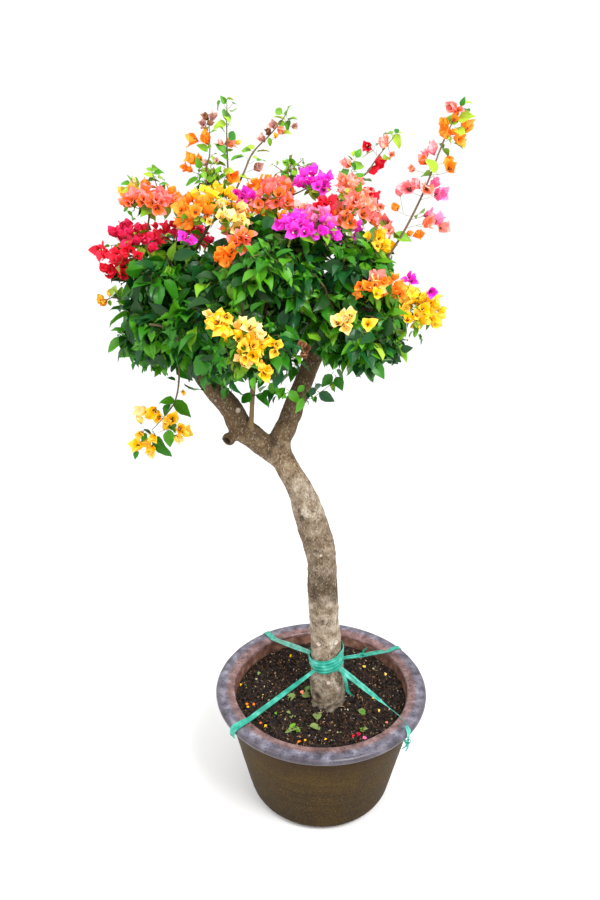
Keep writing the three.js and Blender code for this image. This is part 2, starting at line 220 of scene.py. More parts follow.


# Painted shade on the bark, in bands that darken it and turn it browner up the trunk: the height in mm, and
# the tint there.
PAINTED_TRUNK_SHADE = [
    (330, "#f6f3ef"), (360, "#e5e2de"), (460, "#f6f2ee"), (520, "#f2efec"), (580, "#efebe6"),
    (620, "#8e8272"), (670, "#a99e90"), (715, "#dbd4cc"), (750, "#bdb1a4"), (800, "#cbc2b8"),
    (840, "#e2dcd4"), (885, "#edeae6"), (962, "#cfbfa8"), (1010, "#c2b096"),
]
TINT_DRIFT = 60  # how far in mm a tint's edge wanders up and down
# What covers the bark, as far as the mesh says at each point: thin tan skin, rot, scars and their pith.
WOOD_LAYERS = {
    "young_bark": "#7f6a48", "dark_wood": "#2a1e15", "healed_wood": "#f2eadc", "scar_pith": "#b0632c",
}


def grey_bark():
    """Thin bougainvillea bark: grey-tan, flecked dark, whitish in places, with painted shade, browner at the
    fork.
    """
    made = new_material("grey_tan_bark")
    tree = made.node_tree
    place = add(tree, "TexCoord").outputs["Object"]
    height = add(tree, "SeparateXYZ", {0: place}).outputs["Z"]
    clouds = {"Vector": place, "Scale": 1 / (24 * MM), "Detail": 6.0, "Roughness": 0.62}
    cloud = add(tree, "TexNoise", clouds).outputs[0]
    stops = [(0.3, "#6a5a49"), (0.43, "#8c7c68"), (0.54, "#a99b89"), (0.66, "#cbc2b4")]
    skin = add(tree, "ValToRGB", {"Fac": cloud}, stops).outputs[0]
    drift = add(tree, "TexNoise", {"Vector": place, "Scale": 1 / (38 * MM), "Detail": 3.0}).outputs[0]
    # Painted shade: tints in bands up the trunk darken the bark and turn it browner.
    shift = {0: drift, 1: TINT_DRIFT * MM, 2: height}
    level = add(tree, "Math", shift, operation="MULTIPLY_ADD").outputs[0]
    low, high = PAINTED_TRUNK_SHADE[0][0], PAINTED_TRUNK_SHADE[-1][0]
    start, end = (z + TINT_DRIFT / 2 for z in (low, high))
    ends = {"Value": level, "From Min": start * MM, "From Max": end * MM}
    share = add(tree, "MapRange", ends).outputs[0]
    tints = [((z - low) / (high - low), code) for z, code in PAINTED_TRUNK_SHADE]
    tint = add(tree, "ValToRGB", {"Fac": share}, tints).outputs[0]
    toned = {0: 1.0, 6: skin, 7: tint}
    shaded = add(tree, "Mix", toned, data_type="RGBA", blend_type="MULTIPLY").outputs[2]
    # Painted shade of the crown: from the fork up into the limbs, the bark is mixed towards dark brown.
    limits = {"Value": height, "From Min": 940 * MM, "From Max": 1060 * MM, "To Max": 0.78}
    crown_shade = add(tree, "MapRange", limits).outputs[0]
    crown_shaded = add(tree, "Mix", {0: crown_shade, 6: shaded, 7: paint("#57432c")}, data_type="RGBA").outputs[2]
    drawn = add(tree, "Mapping", {"Vector": place, "Scale": (1.0, 1.0, 0.62)}).outputs[0]
    flecks = {"Vector": drawn, "Scale": 1 / (3.6 * MM), "Detail": 4.0, "Roughness": 0.65}
    fleck = add(tree, "TexNoise", flecks).outputs[0]
    spots = add(tree, "ValToRGB", {"Fac": fleck}, [(0.36, WHITE), (0.49, BLACK)]).outputs[0]
    patch = add(tree, "ValToRGB", {"Fac": drift}, [(0.4, "#606060"), (0.62, WHITE)]).outputs[0]
    part = add(tree, "Math", {0: spots, 1: patch}, operation="MULTIPLY").outputs[0]
    flecked = add(tree, "Mix", {0: part, 6: crown_shaded, 7: paint("#3d2f22")}, data_type="RGBA").outputs[2]
    lights = add(tree, "ValToRGB", {"Fac": fleck}, [(0.56, BLACK), (0.68, WHITE)]).outputs[0]
    pale = add(tree, "Math", {0: lights, 1: 0.45}, operation="MULTIPLY").outputs[0]
    colour = add(tree, "Mix", {0: pale, 6: flecked, 7: paint("#d6cec1")}, data_type="RGBA").outputs[2]
    for layer, code in WOOD_LAYERS.items():
        share = add(tree, "Attribute", attribute_name=layer).outputs["Fac"]
        colour = add(tree, "Mix", {0: share, 6: colour, 7: paint(code)}, data_type="RGBA").outputs[2]
    bump = add(tree, "Bump", {"Height": fleck, "Strength": 0.7, "Distance": 2.0 * MM}).outputs[0]
    inputs = {"Base Color": colour, "Roughness": 0.88, "Normal": bump, "Specular IOR Level": 0.25}
    finish_surface(tree, inputs)
    return keep(made)


def ribbon_film():
    """Polyethylene tying ribbon: thin glossy turquoise film, with painted glints as paler patches."""
    made = new_material("turquoise_ribbon_film")
    tree = made.node_tree
    place = add(tree, "TexCoord").outputs["Object"]
    # Painted glints: random paler patches in the film's colour.
    glint_patches = add(tree, "TexNoise", {"Vector": place, "Scale": 1 / (24 * MM), "Detail": 2.0}).outputs[0]
    stops = [(0.32, "#128a74"), (0.5, "#27a38c"), (0.68, "#5cc2af")]
    film = add(tree, "ValToRGB", {"Fac": glint_patches}, stops).outputs[0]
    finish_surface(tree, {"Base Color": film, "Roughness": 0.32})
    return keep(made)


# ---- Materials: leaves, bracts and small wood ----
# A mature leaf has a waxy skin that shines a little; a young one is paler and softer. Each tone has its
# colour and its roughness.
LEAF_TONES = {
    "deep": ("#10400a", 0.4),
    "teal": ("#165222", 0.36),
    "mid": ("#2e7812", 0.38),
    "bright": ("#4f9816", 0.4),
    "fresh": ("#74ac22", 0.42),
    "young": ("#a0c236", 0.45),
    "dull": ("#7f9350", 0.6),
}
WAX = 0.32  # how strongly that skin shines: the specular level of every leaf
# Bracts are papery and matt. Each colour has three tones, from the throat over the blade to the tip.
BRACT_TONES = {
    "red": ("#9c0a18", "#d4122a", "#e5263e"),
    "crimson": ("#8a0822", "#c41038", "#dd2a5c"),
    "orange": ("#ea5c08", "#fb861a", "#fd9c34"),
    "flame": ("#f0600c", "#fb8238", "#f98a86"),
    "salmon": ("#f07838", "#fa9068", "#fbaaa0"),
    "yellow": ("#f39c06", "#fdc60c", "#fdd24c"),
    "cream": ("#f6ac20", "#fbd162", "#fcde9e"),
    "magenta": ("#ac0c90", "#e622c0", "#f24ad4"),
    "pink": ("#e03c88", "#f46ca6", "#f896c0"),
    "rose": ("#e8506c", "#f58088", "#f8a4a8"),
    "faded": ("#8d5a52", "#b9867c", "#d2aaa0"),
    "brown": ("#4a3022", "#7a5138", "#9a6c4c"),
}
MATTE = 0.62  # the roughness of a bract
DULL = 0.2  # the specular level of what is papery or earthy
GLOW = 0.16  # how strongly a bract glows with the light from behind it


def bract_finishes(name, tones):
    parts = zip(("throat", "blade", "tip"), tones)
    return [plain_finish(f"bract_{name}_{part}", code, MATTE, DULL, GLOW) for part, code in parts]


LEAF = {name: plain_finish("leaf_" + name, *tone, WAX) for name, tone in LEAF_TONES.items()}
BRACT = {name: bract_finishes(name, tones) for name, tones in BRACT_TONES.items()}
# The true flowers are slim soft-skinned tubes, a side stalk is smooth and green, and a twig is dull bark.
FLOWER_TUBE = plain_finish("flower_tube", "#5c4a24", 0.6)
FLOWER_STAR = plain_finish("flower_star", "#ece0a8", 0.6)
GREEN_STEM = plain_finish("green_stem", "#71803a", 0.55)
YOUNG_WOOD = plain_finish("young_wood", "#67563a", 0.75)
POT_GLAZE = iron_glaze()
LIP_GLAZE = lip_glaze()
RED_CLAY = bare_clay()
EARTH = potting_mix()
BARK = grey_bark()
RIBBON = ribbon_film()
# Crumbs of compost are matt: near black where they are damp, tan where fibre shows, pale where it is chips.
CRUMB_TONES = [
    plain_finish("crumb_" + name, code, 0.9, DULL)
    for name, code in (
        ("black", "#0e0907"),
        ("dark", "#20150f"),
        ("brown", "#422b1d"),
        ("fibre", "#6f4a30"),
        ("chip", "#a98a5f"),
        ("pale", "#d2c3a2"),
    )
]


# ---- Meshes ----
CREASE = math.radians(34)  # a fold sharper than this shows as a crisp line


class Pile:
    """Small meshes laid one by one, and joined into one piece at the end."""

    def __init__(self):
        self.points, self.faces, self.finishes, self.count = [], [], [], 0

    def lay(self, points, faces, finishes):
        self.points.append(np.asarray(points))
        self.faces.append(np.asarray(faces) + self.count)
        self.finishes.append(np.broadcast_to(finishes, len(faces)))
        self.count += len(points)

    def mesh(self, name):
        made = bpy.data.meshes.new(name)
        made.from_pydata(np.concatenate(self.points).tolist(), [], np.concatenate(self.faces).tolist())
        finishes = np.concatenate(self.finishes)
        used = np.unique(finishes)
        for number in used:
            made.materials.append(FINISHES[number])
        made.polygons.foreach_set("material_index", np.searchsorted(used, finishes).astype(np.int32))
        made.shade_smooth()
        return made

    def piece(self, name, slot, *nodes):
        """Shows the pile as one piece, with its folds left crisp."""
        made = self.mesh(name)
        made.set_sharp_from_angle(angle=CREASE)
        return as_piece(made, name, slot, *nodes)


def as_piece(mesh, name, slot, *nodes):
    """Shows a mesh as a piece of the plant or pot that stands for its CAD nodes."""
    made = bpy.data.objects.new(name, mesh)
    bpy.context.scene.collection.objects.link(made)
    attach(made, "root")
    if nodes:
        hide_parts(*nodes)
    return made


def unit(vector):
    return vector / max(np.linalg.norm(vector), 1e-9)


def clamp(value):
    return max(0.0, min(1.0, value))


def mm(*values):
    return np.array(values, float) * MM


def flow(route, count):
    """Evenly numbered points on a smooth curve through a route."""
    route = np.asarray(route, float)
    padded = np.vstack([2 * route[0] - route[1], route, 2 * route[-1] - route[-2]])
    places = np.linspace(0, len(route) - 1, count)
    spans = np.minimum(places.astype(int), len(route) - 2)
    t = (places - spans)[:, None]
    a, b, c, d = (padded[spans + i] for i in range(4))
    return 0.5 * (2 * b + (c - a) * t + (2 * a - 5 * b + 4 * c - d) * t**2 + (3 * b - a - 3 * c + d) * t**3)


def tube_faces(rings, sides):
    """Triangles of a closed tube: its rings in order, then one point for each end."""
    ring = np.arange(rings - 1)[:, None] * sides
    side = np.arange(sides)[None, :]
    ahead = (side + 1) % sides
    a, b = (ring + side).ravel(), (ring + ahead).ravel()
    walls = np.vstack([np.c_[a, b, b + sides], np.c_[a, b + sides, a + sides]])
    side, ahead = side.ravel(), ahead.ravel()
    first, last = rings * sides, rings * sides + 1
    top = (rings - 1) * sides
    ends = [np.c_[ahead, side, np.full(sides, first)], np.c_[top + side, top + ahead, np.full(sides, last)]]
    return np.vstack([walls, *ends])


def sweep(path, radii, sides):
    """A closed round bar along a path, with a radius for each of its points."""
    path = np.asarray(path, float)
    radii = np.broadcast_to(radii, len(path))
    headings = np.gradient(path, axis=0)
    angles = np.linspace(0, 2 * math.pi, sides, endpoint=False)[:, None]
    side = np.cross(headings[0], UP if abs(unit(headings[0])[2]) < 0.9 else np.array([0.0, 1.0, 0.0]))
    rings = []
    for place, heading, radius in zip(path, headings, radii):
        heading = unit(heading)
        side = unit(side - heading * side.dot(heading))
        other = np.cross(heading, side)
        rings.append(place + radius * (np.cos(angles) * side + np.sin(angles) * other))
    points = np.vstack([*rings, path[:1], path[-1:]])
    return points, tube_faces(len(path), sides)


def ripple(point, size, offset=0.0):
    """Smooth noise, from -1 to 1, whose bumps are about the given size."""
    return noise.noise(Vector(point) / size + Vector((offset, offset, offset)))


# ---- Pot ----
POT_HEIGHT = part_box("pot")[1][2]
RIM_RADIUS = 280 * MM
MOUTH_RADIUS = 230 * MM
NECK_RADIUS = 256 * MM
FOOT_RADIUS = 195 * MM
FOOT_CORNER = 30 * MM
LIP_DEPTH = 18 * MM
POT_WALL = 24 * MM
SOIL_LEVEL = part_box("soil")[1][2]
POT_SIDES = 192


def inner_radius(height):
    """How far the inside of the pot's wall is from the pot's middle at a height."""
    lean = (NECK_RADIUS - FOOT_RADIUS) / (POT_HEIGHT - LIP_DEPTH)
    return FOOT_RADIUS + height * lean - POT_WALL


def arc(reach, height, radius, start, end, count):
    angles = np.radians(np.linspace(start, end, count))
    return [(reach + radius * math.cos(a), height + radius * math.sin(a)) for a in angles]


def pot_profile():
    """The pot's section as (radius, height), with the finish of the stretch that starts at each point."""
    lip_edge = LIP_DEPTH / 2
    neck = POT_HEIGHT - LIP_DEPTH
    corner = arc(FOOT_RADIUS - FOOT_CORNER, FOOT_CORNER, FOOT_CORNER, -90, -12, 9)
    wall = [tuple(p) for p in np.linspace(corner[-1], (NECK_RADIUS, neck), 26)[1:]]
    rolled = arc(RIM_RADIUS - lip_edge, POT_HEIGHT - lip_edge, lip_edge, -62, 76, 14)
    top = [(262 * MM, POT_HEIGHT - 0.6 * MM), (252 * MM, POT_HEIGHT), (246 * MM, POT_HEIGHT - 1.4 * MM)]
    lip_inside = arc(MOUTH_RADIUS + 7 * MM, POT_HEIGHT - 9 * MM, 7 * MM, 92, 180, 8)
    mouth_top = (MOUTH_RADIUS, POT_HEIGHT - 12 * MM)
    mouth = [tuple(p) for p in np.linspace(mouth_top, (inner_radius(SOIL_LEVEL), SOIL_LEVEL), 8)]
    inside = [(inner_radius(POT_WALL), POT_WALL), (0.0, POT_WALL)]
    outer = [(0.0, 0.0)] + corner + wall
    lip = rolled + top + lip_inside
    finishes = [POT_GLAZE] * len(outer) + [LIP_GLAZE] * len(lip) + [RED_CLAY] * (len(mouth) + len(inside))
    return outer + lip + mouth + inside, finishes


def pot_piece():
    """The thrown pot, a little out of round as it left the wheel, with faint finger rings on the wall."""
    profile, finishes = pot_profile()
    pile = Pile()
    turns = np.linspace(0, 2 * math.pi, POT_SIDES, endpoint=False)
    ring_spacing = 11 * MM
    points = []
    for reach, height in profile:
        ringed = 40 * MM < height < 290 * MM
        finger = 0.35 * MM * math.sin(height / ring_spacing * 2 * math.pi) if ringed else 0.0
        for turn in turns:
            spot = (reach * math.cos(turn), reach * math.sin(turn), height)
            sway = 0.9 * MM * ripple(spot, 170 * MM) + 0.35 * MM * ripple(spot, 30 * MM, 4.0)
            share = min(reach / FOOT_RADIUS, 1.0) * min(height / FOOT_CORNER, 1.0)
            grown = reach + (finger + sway) * share
            points.append((grown * math.cos(turn), grown * math.sin(turn), height + 0.5 * sway * share))
    ring = np.arange(len(profile) - 1)[:, None] * POT_SIDES
    side = np.arange(POT_SIDES)[None, :]
    a, b = (ring + side).ravel(), (ring + (side + 1) % POT_SIDES).ravel()
    faces = np.hstack([np.c_[a, b, b + POT_SIDES], np.c_[a, b + POT_SIDES, a + POT_SIDES]]).reshape(-1, 3)
    pile.lay(points, faces, np.repeat(finishes[:-1], 2 * POT_SIDES))
    mesh = pile.mesh("glazed_pot")
    weld(mesh, 0.02 * MM)
    as_piece(mesh, "glazed_pot", "pot_glaze", "pot")


def weld(mesh, reach):
    """Joins points that lie together, and drops the faces that this flattens."""
    work = bmesh.new()
    work.from_mesh(mesh)
    bmesh.ops.remove_doubles(work, verts=work.verts, dist=reach)
    bmesh.ops.dissolve_degenerate(work, edges=work.edges, dist=reach)
    work.to_mesh(mesh)
    work.free()


# ---- Trunk and limbs ----
FORK = (-96, -15, 962)
TRUNK_ROUTE = mm(
    (18, -30, 270), (14, -29, 400), (4, -26, 560), (-5, -23, 715), (-28, -21, 800), (-55, -18, 885), FORK
)
TRUNK_RADII = mm(43, 45, 41, 38, 38, 36.5, 38, 39, 37, 31, 28, 28)
LEFT_ROUTE = mm(
    FORK, (-150, -17, 1006), (-190, -22, 1043), (-213, -28, 1090), (-260, -32, 1156), (-300, -30, 1232)
)
LEFT_RADII = mm(27, 27, 28.5, 27, 25, 24, 22)
RIGHT_ROUTE = mm(FORK, (-104, -12, 1004), (-86, -4, 1045), (-72, 4, 1083), (-8, 25, 1240))
RIGHT_RADII = mm(25, 27, 25.5, 24, 22.5, 20)
STUB_END = mm(-222, -50, 1020)
STUB_ROUTE = np.vstack([mm((-190, -24, 1032), (-210, -34, 1026)), STUB_END])
STUB_RADII = mm(16, 13, 13)
STEM_ROUTE = mm((-163, -26, 1000), (-166, -40, 1060), (-150, -100, 1240))
STEM_RADII = mm(8.5, 6, 5.8)
FLARE_TOP = 345 * MM

def bark_marks(*rows):
    """Marks on the bark as (place, size), from rows of x, y, z and size in mm."""
    return [(mm(*row[:3]), row[3] * MM) for row in rows]


# Pruning scars that have healed pale, and dark knots.
PALE_SCARS = bark_marks(
    (-9, -62, 481, 5.5), (35, -57, 482, 5.5), (17, -72, 370, 4.5), (-6, -62, 732, 3.5),
    (-242, -50, 1118, 4), (-195, -48, 1092, 5), (-86, -38, 1064, 5), (-80, -38, 1055, 5),
    (-74, -38, 1046, 5), (40, 6, 560, 8), (-30, 8, 640, 8), (-60, 16, 860, 9),
)
DARK_KNOTS = bark_marks(
    (18, -62, 626, 6), (2, -62, 549, 7), (-47, -8, 1062, 11), (-69, -46, 786, 12),
    (-150, 8, 1038, 12), (-100, -42, 1000, 9), (-158, -38, 1030, 9), (-52, -56, 826, 10),
    (-35, -52, 770, 8), (-118, -30, 1010, 14), (-128, -38, 985, 12), (-14, -66, 322, 15),
    (14, 12, 700, 10), (-152, -25, 1048, 7), (-127, -32, 1030, 8), (-127, -44, 1012, 7),
    (-124, -46, 996, 6), (-6, -60, 668, 9), (30, -58, 612, 8), (-20, -60, 742, 8),
    (-34, -6, 330, 14),
)
MARK_REACH = 3.5  # a mark leaves the bark as it is beyond this many times its own size
STUB_HOLLOW = 12 * MM


def trunk_centre(height):
    """The middle of the trunk at a height."""
    path = flow(TRUNK_ROUTE, 120)
    return np.array([np.interp(height, path[:, 2], path[:, axis]) for axis in range(2)])


def peak(near, centre, width, power=2):
    """A smooth peak, 1 high at its centre, with a flatter top and steeper sides at a higher power."""
    return math.exp(-(((near - centre) / width) ** power))


def bark_depth(spot, girth):
    """How far the bark of a limb that thick stands out, and how healed, dark and pithy it is at a spot.

    Swells and lumps come first, then fissures drawn out along the wood, rings round it and fine grain.
    """
    x, y, z = spot
    drawn = (x, y, z * 0.28)
    depth = 2.6 * MM * ripple(spot, 42 * MM) + 1.2 * MM * ripple(spot, 15 * MM, 3.0)
    depth -= 1.5 * MM * abs(ripple(drawn, 9 * MM, 7.0))
    rings = max(0.0, ripple(spot, 70 * MM, 11.0)) * math.sin(z / (5.5 * MM) + 5 * ripple(spot, 25 * MM))
    depth += 0.5 * MM * rings + 0.5 * MM * ripple(spot, 5 * MM, 5.0)
    depth *= min(1.0, max(0.25, girth / (32 * MM)))
    healed = dark = pith = 0.0
    flare = clamp((FLARE_TOP - z) / (FLARE_TOP - SOIL_LEVEL)) ** 1.4
    if flare > 0:
        centre = trunk_centre(z)
        turn = math.atan2(y - centre[1], x - centre[0])
        lobes = 1.5 * MM * math.cos(5 * turn + 0.8)
        depth += flare * (lobes + 5 * MM * ripple(spot, 21 * MM, 2.0) + 3 * MM * ripple(spot, 9 * MM, 6.0))
        dark = 0.8 * flare * (0.45 + 1.5 * ripple(spot, 14 * MM, 9.0))
    for centre, size in PALE_SCARS:
        near = np.linalg.norm(spot - centre) / size
        if near < MARK_REACH:
            depth += 1.6 * MM * peak(near, 1.1, 0.5) - 1.2 * MM * peak(near, 0, 0.6)
            healed = max(healed, 0.95 * peak(near, 0, 1, 4) * (1 + 0.3 * ripple(spot, 3 * MM)))
            dark = max(dark, 0.5 * peak(near, 1.4, 0.25))
            pith = max(pith, peak(near, 0, 0.6))
    for centre, size in DARK_KNOTS:
        near = np.linalg.norm(spot - centre) / size
        if near < MARK_REACH:
            depth += 2.2 * MM * peak(near, 1.0, 0.45) - 2.2 * MM * peak(near, 0, 0.6)
            dark = max(dark, 0.75 * peak(near, 0, 0.9))
    hollow = np.linalg.norm(spot - STUB_END) / STUB_HOLLOW
    if hollow < MARK_REACH:
        depth += 2.0 * MM * peak(hollow, 1.2, 0.35) - 7 * MM * peak(hollow, 0, 0.7, 4)
        dark = max(dark, 1.2 * peak(hollow, 0, 0.85, 6))
    return depth, clamp(healed), clamp(dark), 0.8 * pith


def bark_piece():
    """Trunk and limbs grown into one skin, with the relief of the bark worked into its mesh.

    Gives a search tree over it, for the ribbon that lies on it.
    """
    limbs = [
        (TRUNK_ROUTE, TRUNK_RADII, 90),
        (LEFT_ROUTE, LEFT_RADII, 48),
        (RIGHT_ROUTE, RIGHT_RADII, 44),
        (STUB_ROUTE, STUB_RADII, 10),
        (STEM_ROUTE, STEM_RADII, 36),
    ]
    pile = Pile()
    axes, girths = [], []
    for route, radii, count in limbs:
        spread = np.interp(np.linspace(0, 1, count), np.linspace(0, 1, len(radii)), radii)
        path = flow(route, count)
        axes.append(path)
        girths.append(spread)
        pile.lay(*sweep(path, spread, 26), BARK)
    axes, girths = np.vstack(axes), np.concatenate(girths)
    rough = bpy.data.objects.new("rough_wood", pile.mesh("rough_wood"))
    bpy.context.scene.collection.objects.link(rough)
    skin = rough.modifiers.new("one_skin", "REMESH")
    skin.mode = "VOXEL"
    skin.voxel_size = 2.7 * MM
    even = rough.modifiers.new("soften_creases", "SMOOTH")
    even.factor = 0.5
    even.iterations = 6
    solved = rough.evaluated_get(bpy.context.evaluated_depsgraph_get())
    mesh = bpy.data.meshes.new_from_object(solved)
    bpy.data.objects.remove(rough)
    points = np.empty(len(mesh.vertices) * 3)
    mesh.vertices.foreach_get("co", points)
    points = points.reshape(-1, 3)
    normals = np.empty(len(mesh.vertices) * 3)
    mesh.vertices.foreach_get("normal", normals)
    normals = normals.reshape(-1, 3)
    marks = []
    for spot in points:
        girth = girths[int(np.argmin(np.linalg.norm(axes - spot, axis=1) - girths))]
        # Wood under 8 mm in radius has a young skin, and wood over 12 mm has none.
        young = 0.75 * clamp((12 * MM - girth) / (4 * MM))
        marks.append((*bark_depth(spot, girth), young))
    marks = np.array(marks)
    points += normals * marks[:, :1]
    mesh.vertices.foreach_set("co", points.ravel())
    for column, name in enumerate(("healed_wood", "dark_wood", "scar_pith", "young_bark"), 1):
        layer = mesh.attributes.new(name, "FLOAT", "POINT")
        layer.data.foreach_set("value", marks[:, column].astype(np.float32))
    mesh.shade_smooth()
    as_piece(mesh, "bark", "bark", "trunk", "limb_left", "limb_right", "limb_stub", "stem_upright")
    return BVHTree.FromPolygons(points.tolist(), [list(face.vertices) for face in mesh.polygons])


# ---- Soil ----
def soil_height(x, y):
    """The top of the potting mix: a low mound round the trunk, with clods on it."""
    spot = (x, y, 0.0)
    foot_x, foot_y, _ = TRUNK_ROUTE[0]
    mound = 5 * MM * math.exp(-(((x - foot_x) ** 2 + (y - foot_y) ** 2) / (75 * MM) ** 2))
    clods = 4.5 * MM * ripple(spot, 28 * MM) + 3.4 * MM * ripple(spot, 10 * MM, 3.0)
    return SOIL_LEVEL - 2 * MM + mound + clods + 1.8 * MM * ripple(spot, 4 * MM, 8.0)


def soil_piece():
    """The top of the potting mix, down to a flat underside inside the pot."""
    rings, sides, depth = 84, 300, 40 * MM
    edge = inner_radius(SOIL_LEVEL) + 1.5 * MM
    turns = np.linspace(0, 2 * math.pi, sides, endpoint=False)
    points = []
    for reach in np.linspace(2 * MM, edge, rings):
        ring = [(reach * math.cos(t), reach * math.sin(t)) for t in turns]
        points += [(x, y, soil_height(x, y)) for x, y in ring]
    low = inner_radius(SOIL_LEVEL - depth) - 1 * MM
    points += [(low * math.cos(t), low * math.sin(t), SOIL_LEVEL - depth) for t in turns]
    points += [(0, 0, soil_height(0, 0)), (0, 0, SOIL_LEVEL - depth)]
    pile = Pile()
    pile.lay(points, tube_faces(rings + 1, sides)[:, ::-1], EARTH)
    as_piece(pile.mesh("potting_mix"), "potting_mix", "soil", "soil")


LUMP = np.array([(1, 0, 0), (-1, 0, 0), (0, 1, 0), (0, -1, 0), (0, 0, 1), (0, 0, -1)], float)
LUMP_FACES = [(0, 2, 4), (2, 1, 4), (1, 3, 4), (3, 0, 4), (2, 0, 5), (1, 2, 5), (3, 1, 5), (0, 3, 5)]


def any_turn():
    """A random rotation, as three perpendicular rows."""
    first = unit(rng.normal(size=3))
    second = unit(np.cross(first, rng.normal(size=3)))
    return np.array([first, second, np.cross(first, second)])


def crumbs_piece():
    """Loose crumbs, bark fibre and pale chips that lie on the potting mix."""
    pile = Pile()
    # Each kind's number, its sizes in mm, its shape, and its share of each tone.
    kinds = [
        (5600, (2.5, 9.0), (1.0, 0.8, 0.6), (0.42, 0.28, 0.18, 0.08, 0.03, 0.01)),
        (1100, (6.0, 19.0), (1.0, 0.16, 0.09), (0.12, 0.22, 0.28, 0.24, 0.12, 0.02)),
        (360, (2.0, 6.0), (1.0, 0.8, 0.5), (0.0, 0.0, 0.05, 0.25, 0.45, 0.25)),
    ]
    for count, sizes, shape, shares in kinds:
        for _ in range(count):
            reach = (inner_radius(SOIL_LEVEL) - 4 * MM) * math.sqrt(rng.uniform(0.02, 1))
            turn = rng.uniform(0, 2 * math.pi)
            x, y = reach * math.cos(turn), reach * math.sin(turn)
            size = rng.uniform(*sizes) * MM * 0.5
            lump = LUMP * rng.uniform(0.6, 1.1, (6, 1)) * np.array(shape) @ any_turn() * size
            place = np.array([x, y, soil_height(x, y) + 0.3 * size])
            pile.lay(place + lump, LUMP_FACES, CRUMB_TONES[rng.choice(6, p=shares)])
    pile.piece("soil_crumbs", "soil")


# ---- Leaves and bracts ----
# A blade's outline for a length of 1: the points across it, then each row's place and half width.
ACROSS = np.array([-1.0, -0.5, 0.0, 0.5, 1.0])
LEAF_SPANS = [(0.1, 0.19), (0.29, 0.32), (0.53, 0.28), (0.79, 0.12)]
BRACT_SPANS = [(0.16, 0.22), (0.4, 0.38), (0.66, 0.31), (0.86, 0.13)]


def blade(spans, fold, curl, wave, phase):
    """A blade one unit long, from its stalk at the origin to its tip along +Y, with its upper side up.

    Gives its points, its triangles, and which row from stalk to tip each triangle is in.
    """
    points = [(0.0, 0.0, 0.0)]
    for along, half in spans:
        for across in ACROSS:
            lift = fold * abs(across) * half + wave * abs(across) * math.sin(9 * along + phase + 2 * across)
            points.append((across * half, along, lift - curl * along**2))
    points.append((0.0, 1.0 - 0.3 * abs(curl), -1.15 * curl))
    wide, rows = len(ACROSS), len(spans)
    faces = [(0, 2 + i, 1 + i) for i in range(wide - 1)]
    bands = [0] * (wide - 1)
    for row in range(rows - 1):
        low = 1 + row * wide
        for i in range(low, low + wide - 1):
            faces += [(i, i + 1, i + 1 + wide), (i, i + 1 + wide, i + wide)]
            bands += [row + 1] * 2
    last = 1 + (rows - 1) * wide
    faces += [(i, i + 1, len(points) - 1) for i in range(last, last + wide - 1)]
    bands += [rows] * (wide - 1)
    return np.array(points), np.array(faces), np.array(bands)


def leaf_shapes(count):
    """Leaves that differ in fold, curl and wave, each with a thin stalk behind it."""
    shapes = []
    for i in range(count):
        fold = rng.uniform(0.12, 0.65)
        points, faces, _ = blade(LEAF_SPANS, fold, rng.uniform(0.02, 0.38), rng.uniform(0.02, 0.08), i)
        stalk = [(-0.02, 0.0, 0.0), (0.02, 0.0, 0.0), (0.012, -0.22, -0.02), (-0.012, -0.22, -0.02)]
        first = len(points)
        ties = [(first, first + 1, first + 2), (first, first + 2, first + 3)]
        shapes.append((np.vstack([points, stalk]), np.vstack([faces, ties])))
    return shapes


LEAVES = leaf_shapes(14)


def lay_leaf(pile, foot, axis, facing, length, breadth, finish):
    """Lays one leaf: from its foot along an axis, with its upper side facing a given way."""
    axis = unit(axis)
    facing = unit(facing - axis * facing.dot(axis))
    points, faces = LEAVES[rng.integers(len(LEAVES))]
    turned = points * np.array([breadth, 1.0, 1.0]) * length
    frame_rows = np.array([np.cross(axis, facing), axis, facing])
    pile.lay(foot + axis * length * 0.2 + turned @ frame_rows, faces, finish)


# The parts of a flower, in the order of the finishes that it is laid with.
THROAT, BLADE, TIP, TUBE, STAR = range(5)


def turned_about(points, angle, first, second):
    """Points turned by an angle in the plane of two axes, given by number."""
    made = points.copy()
    cos, sin = math.cos(angle), math.sin(angle)
    made[:, first] = points[:, first] * cos - points[:, second] * sin
    made[:, second] = points[:, first] * sin + points[:, second] * cos
    return made


STAR_EVERY = 13  # one tube in this many has opened into a pale star


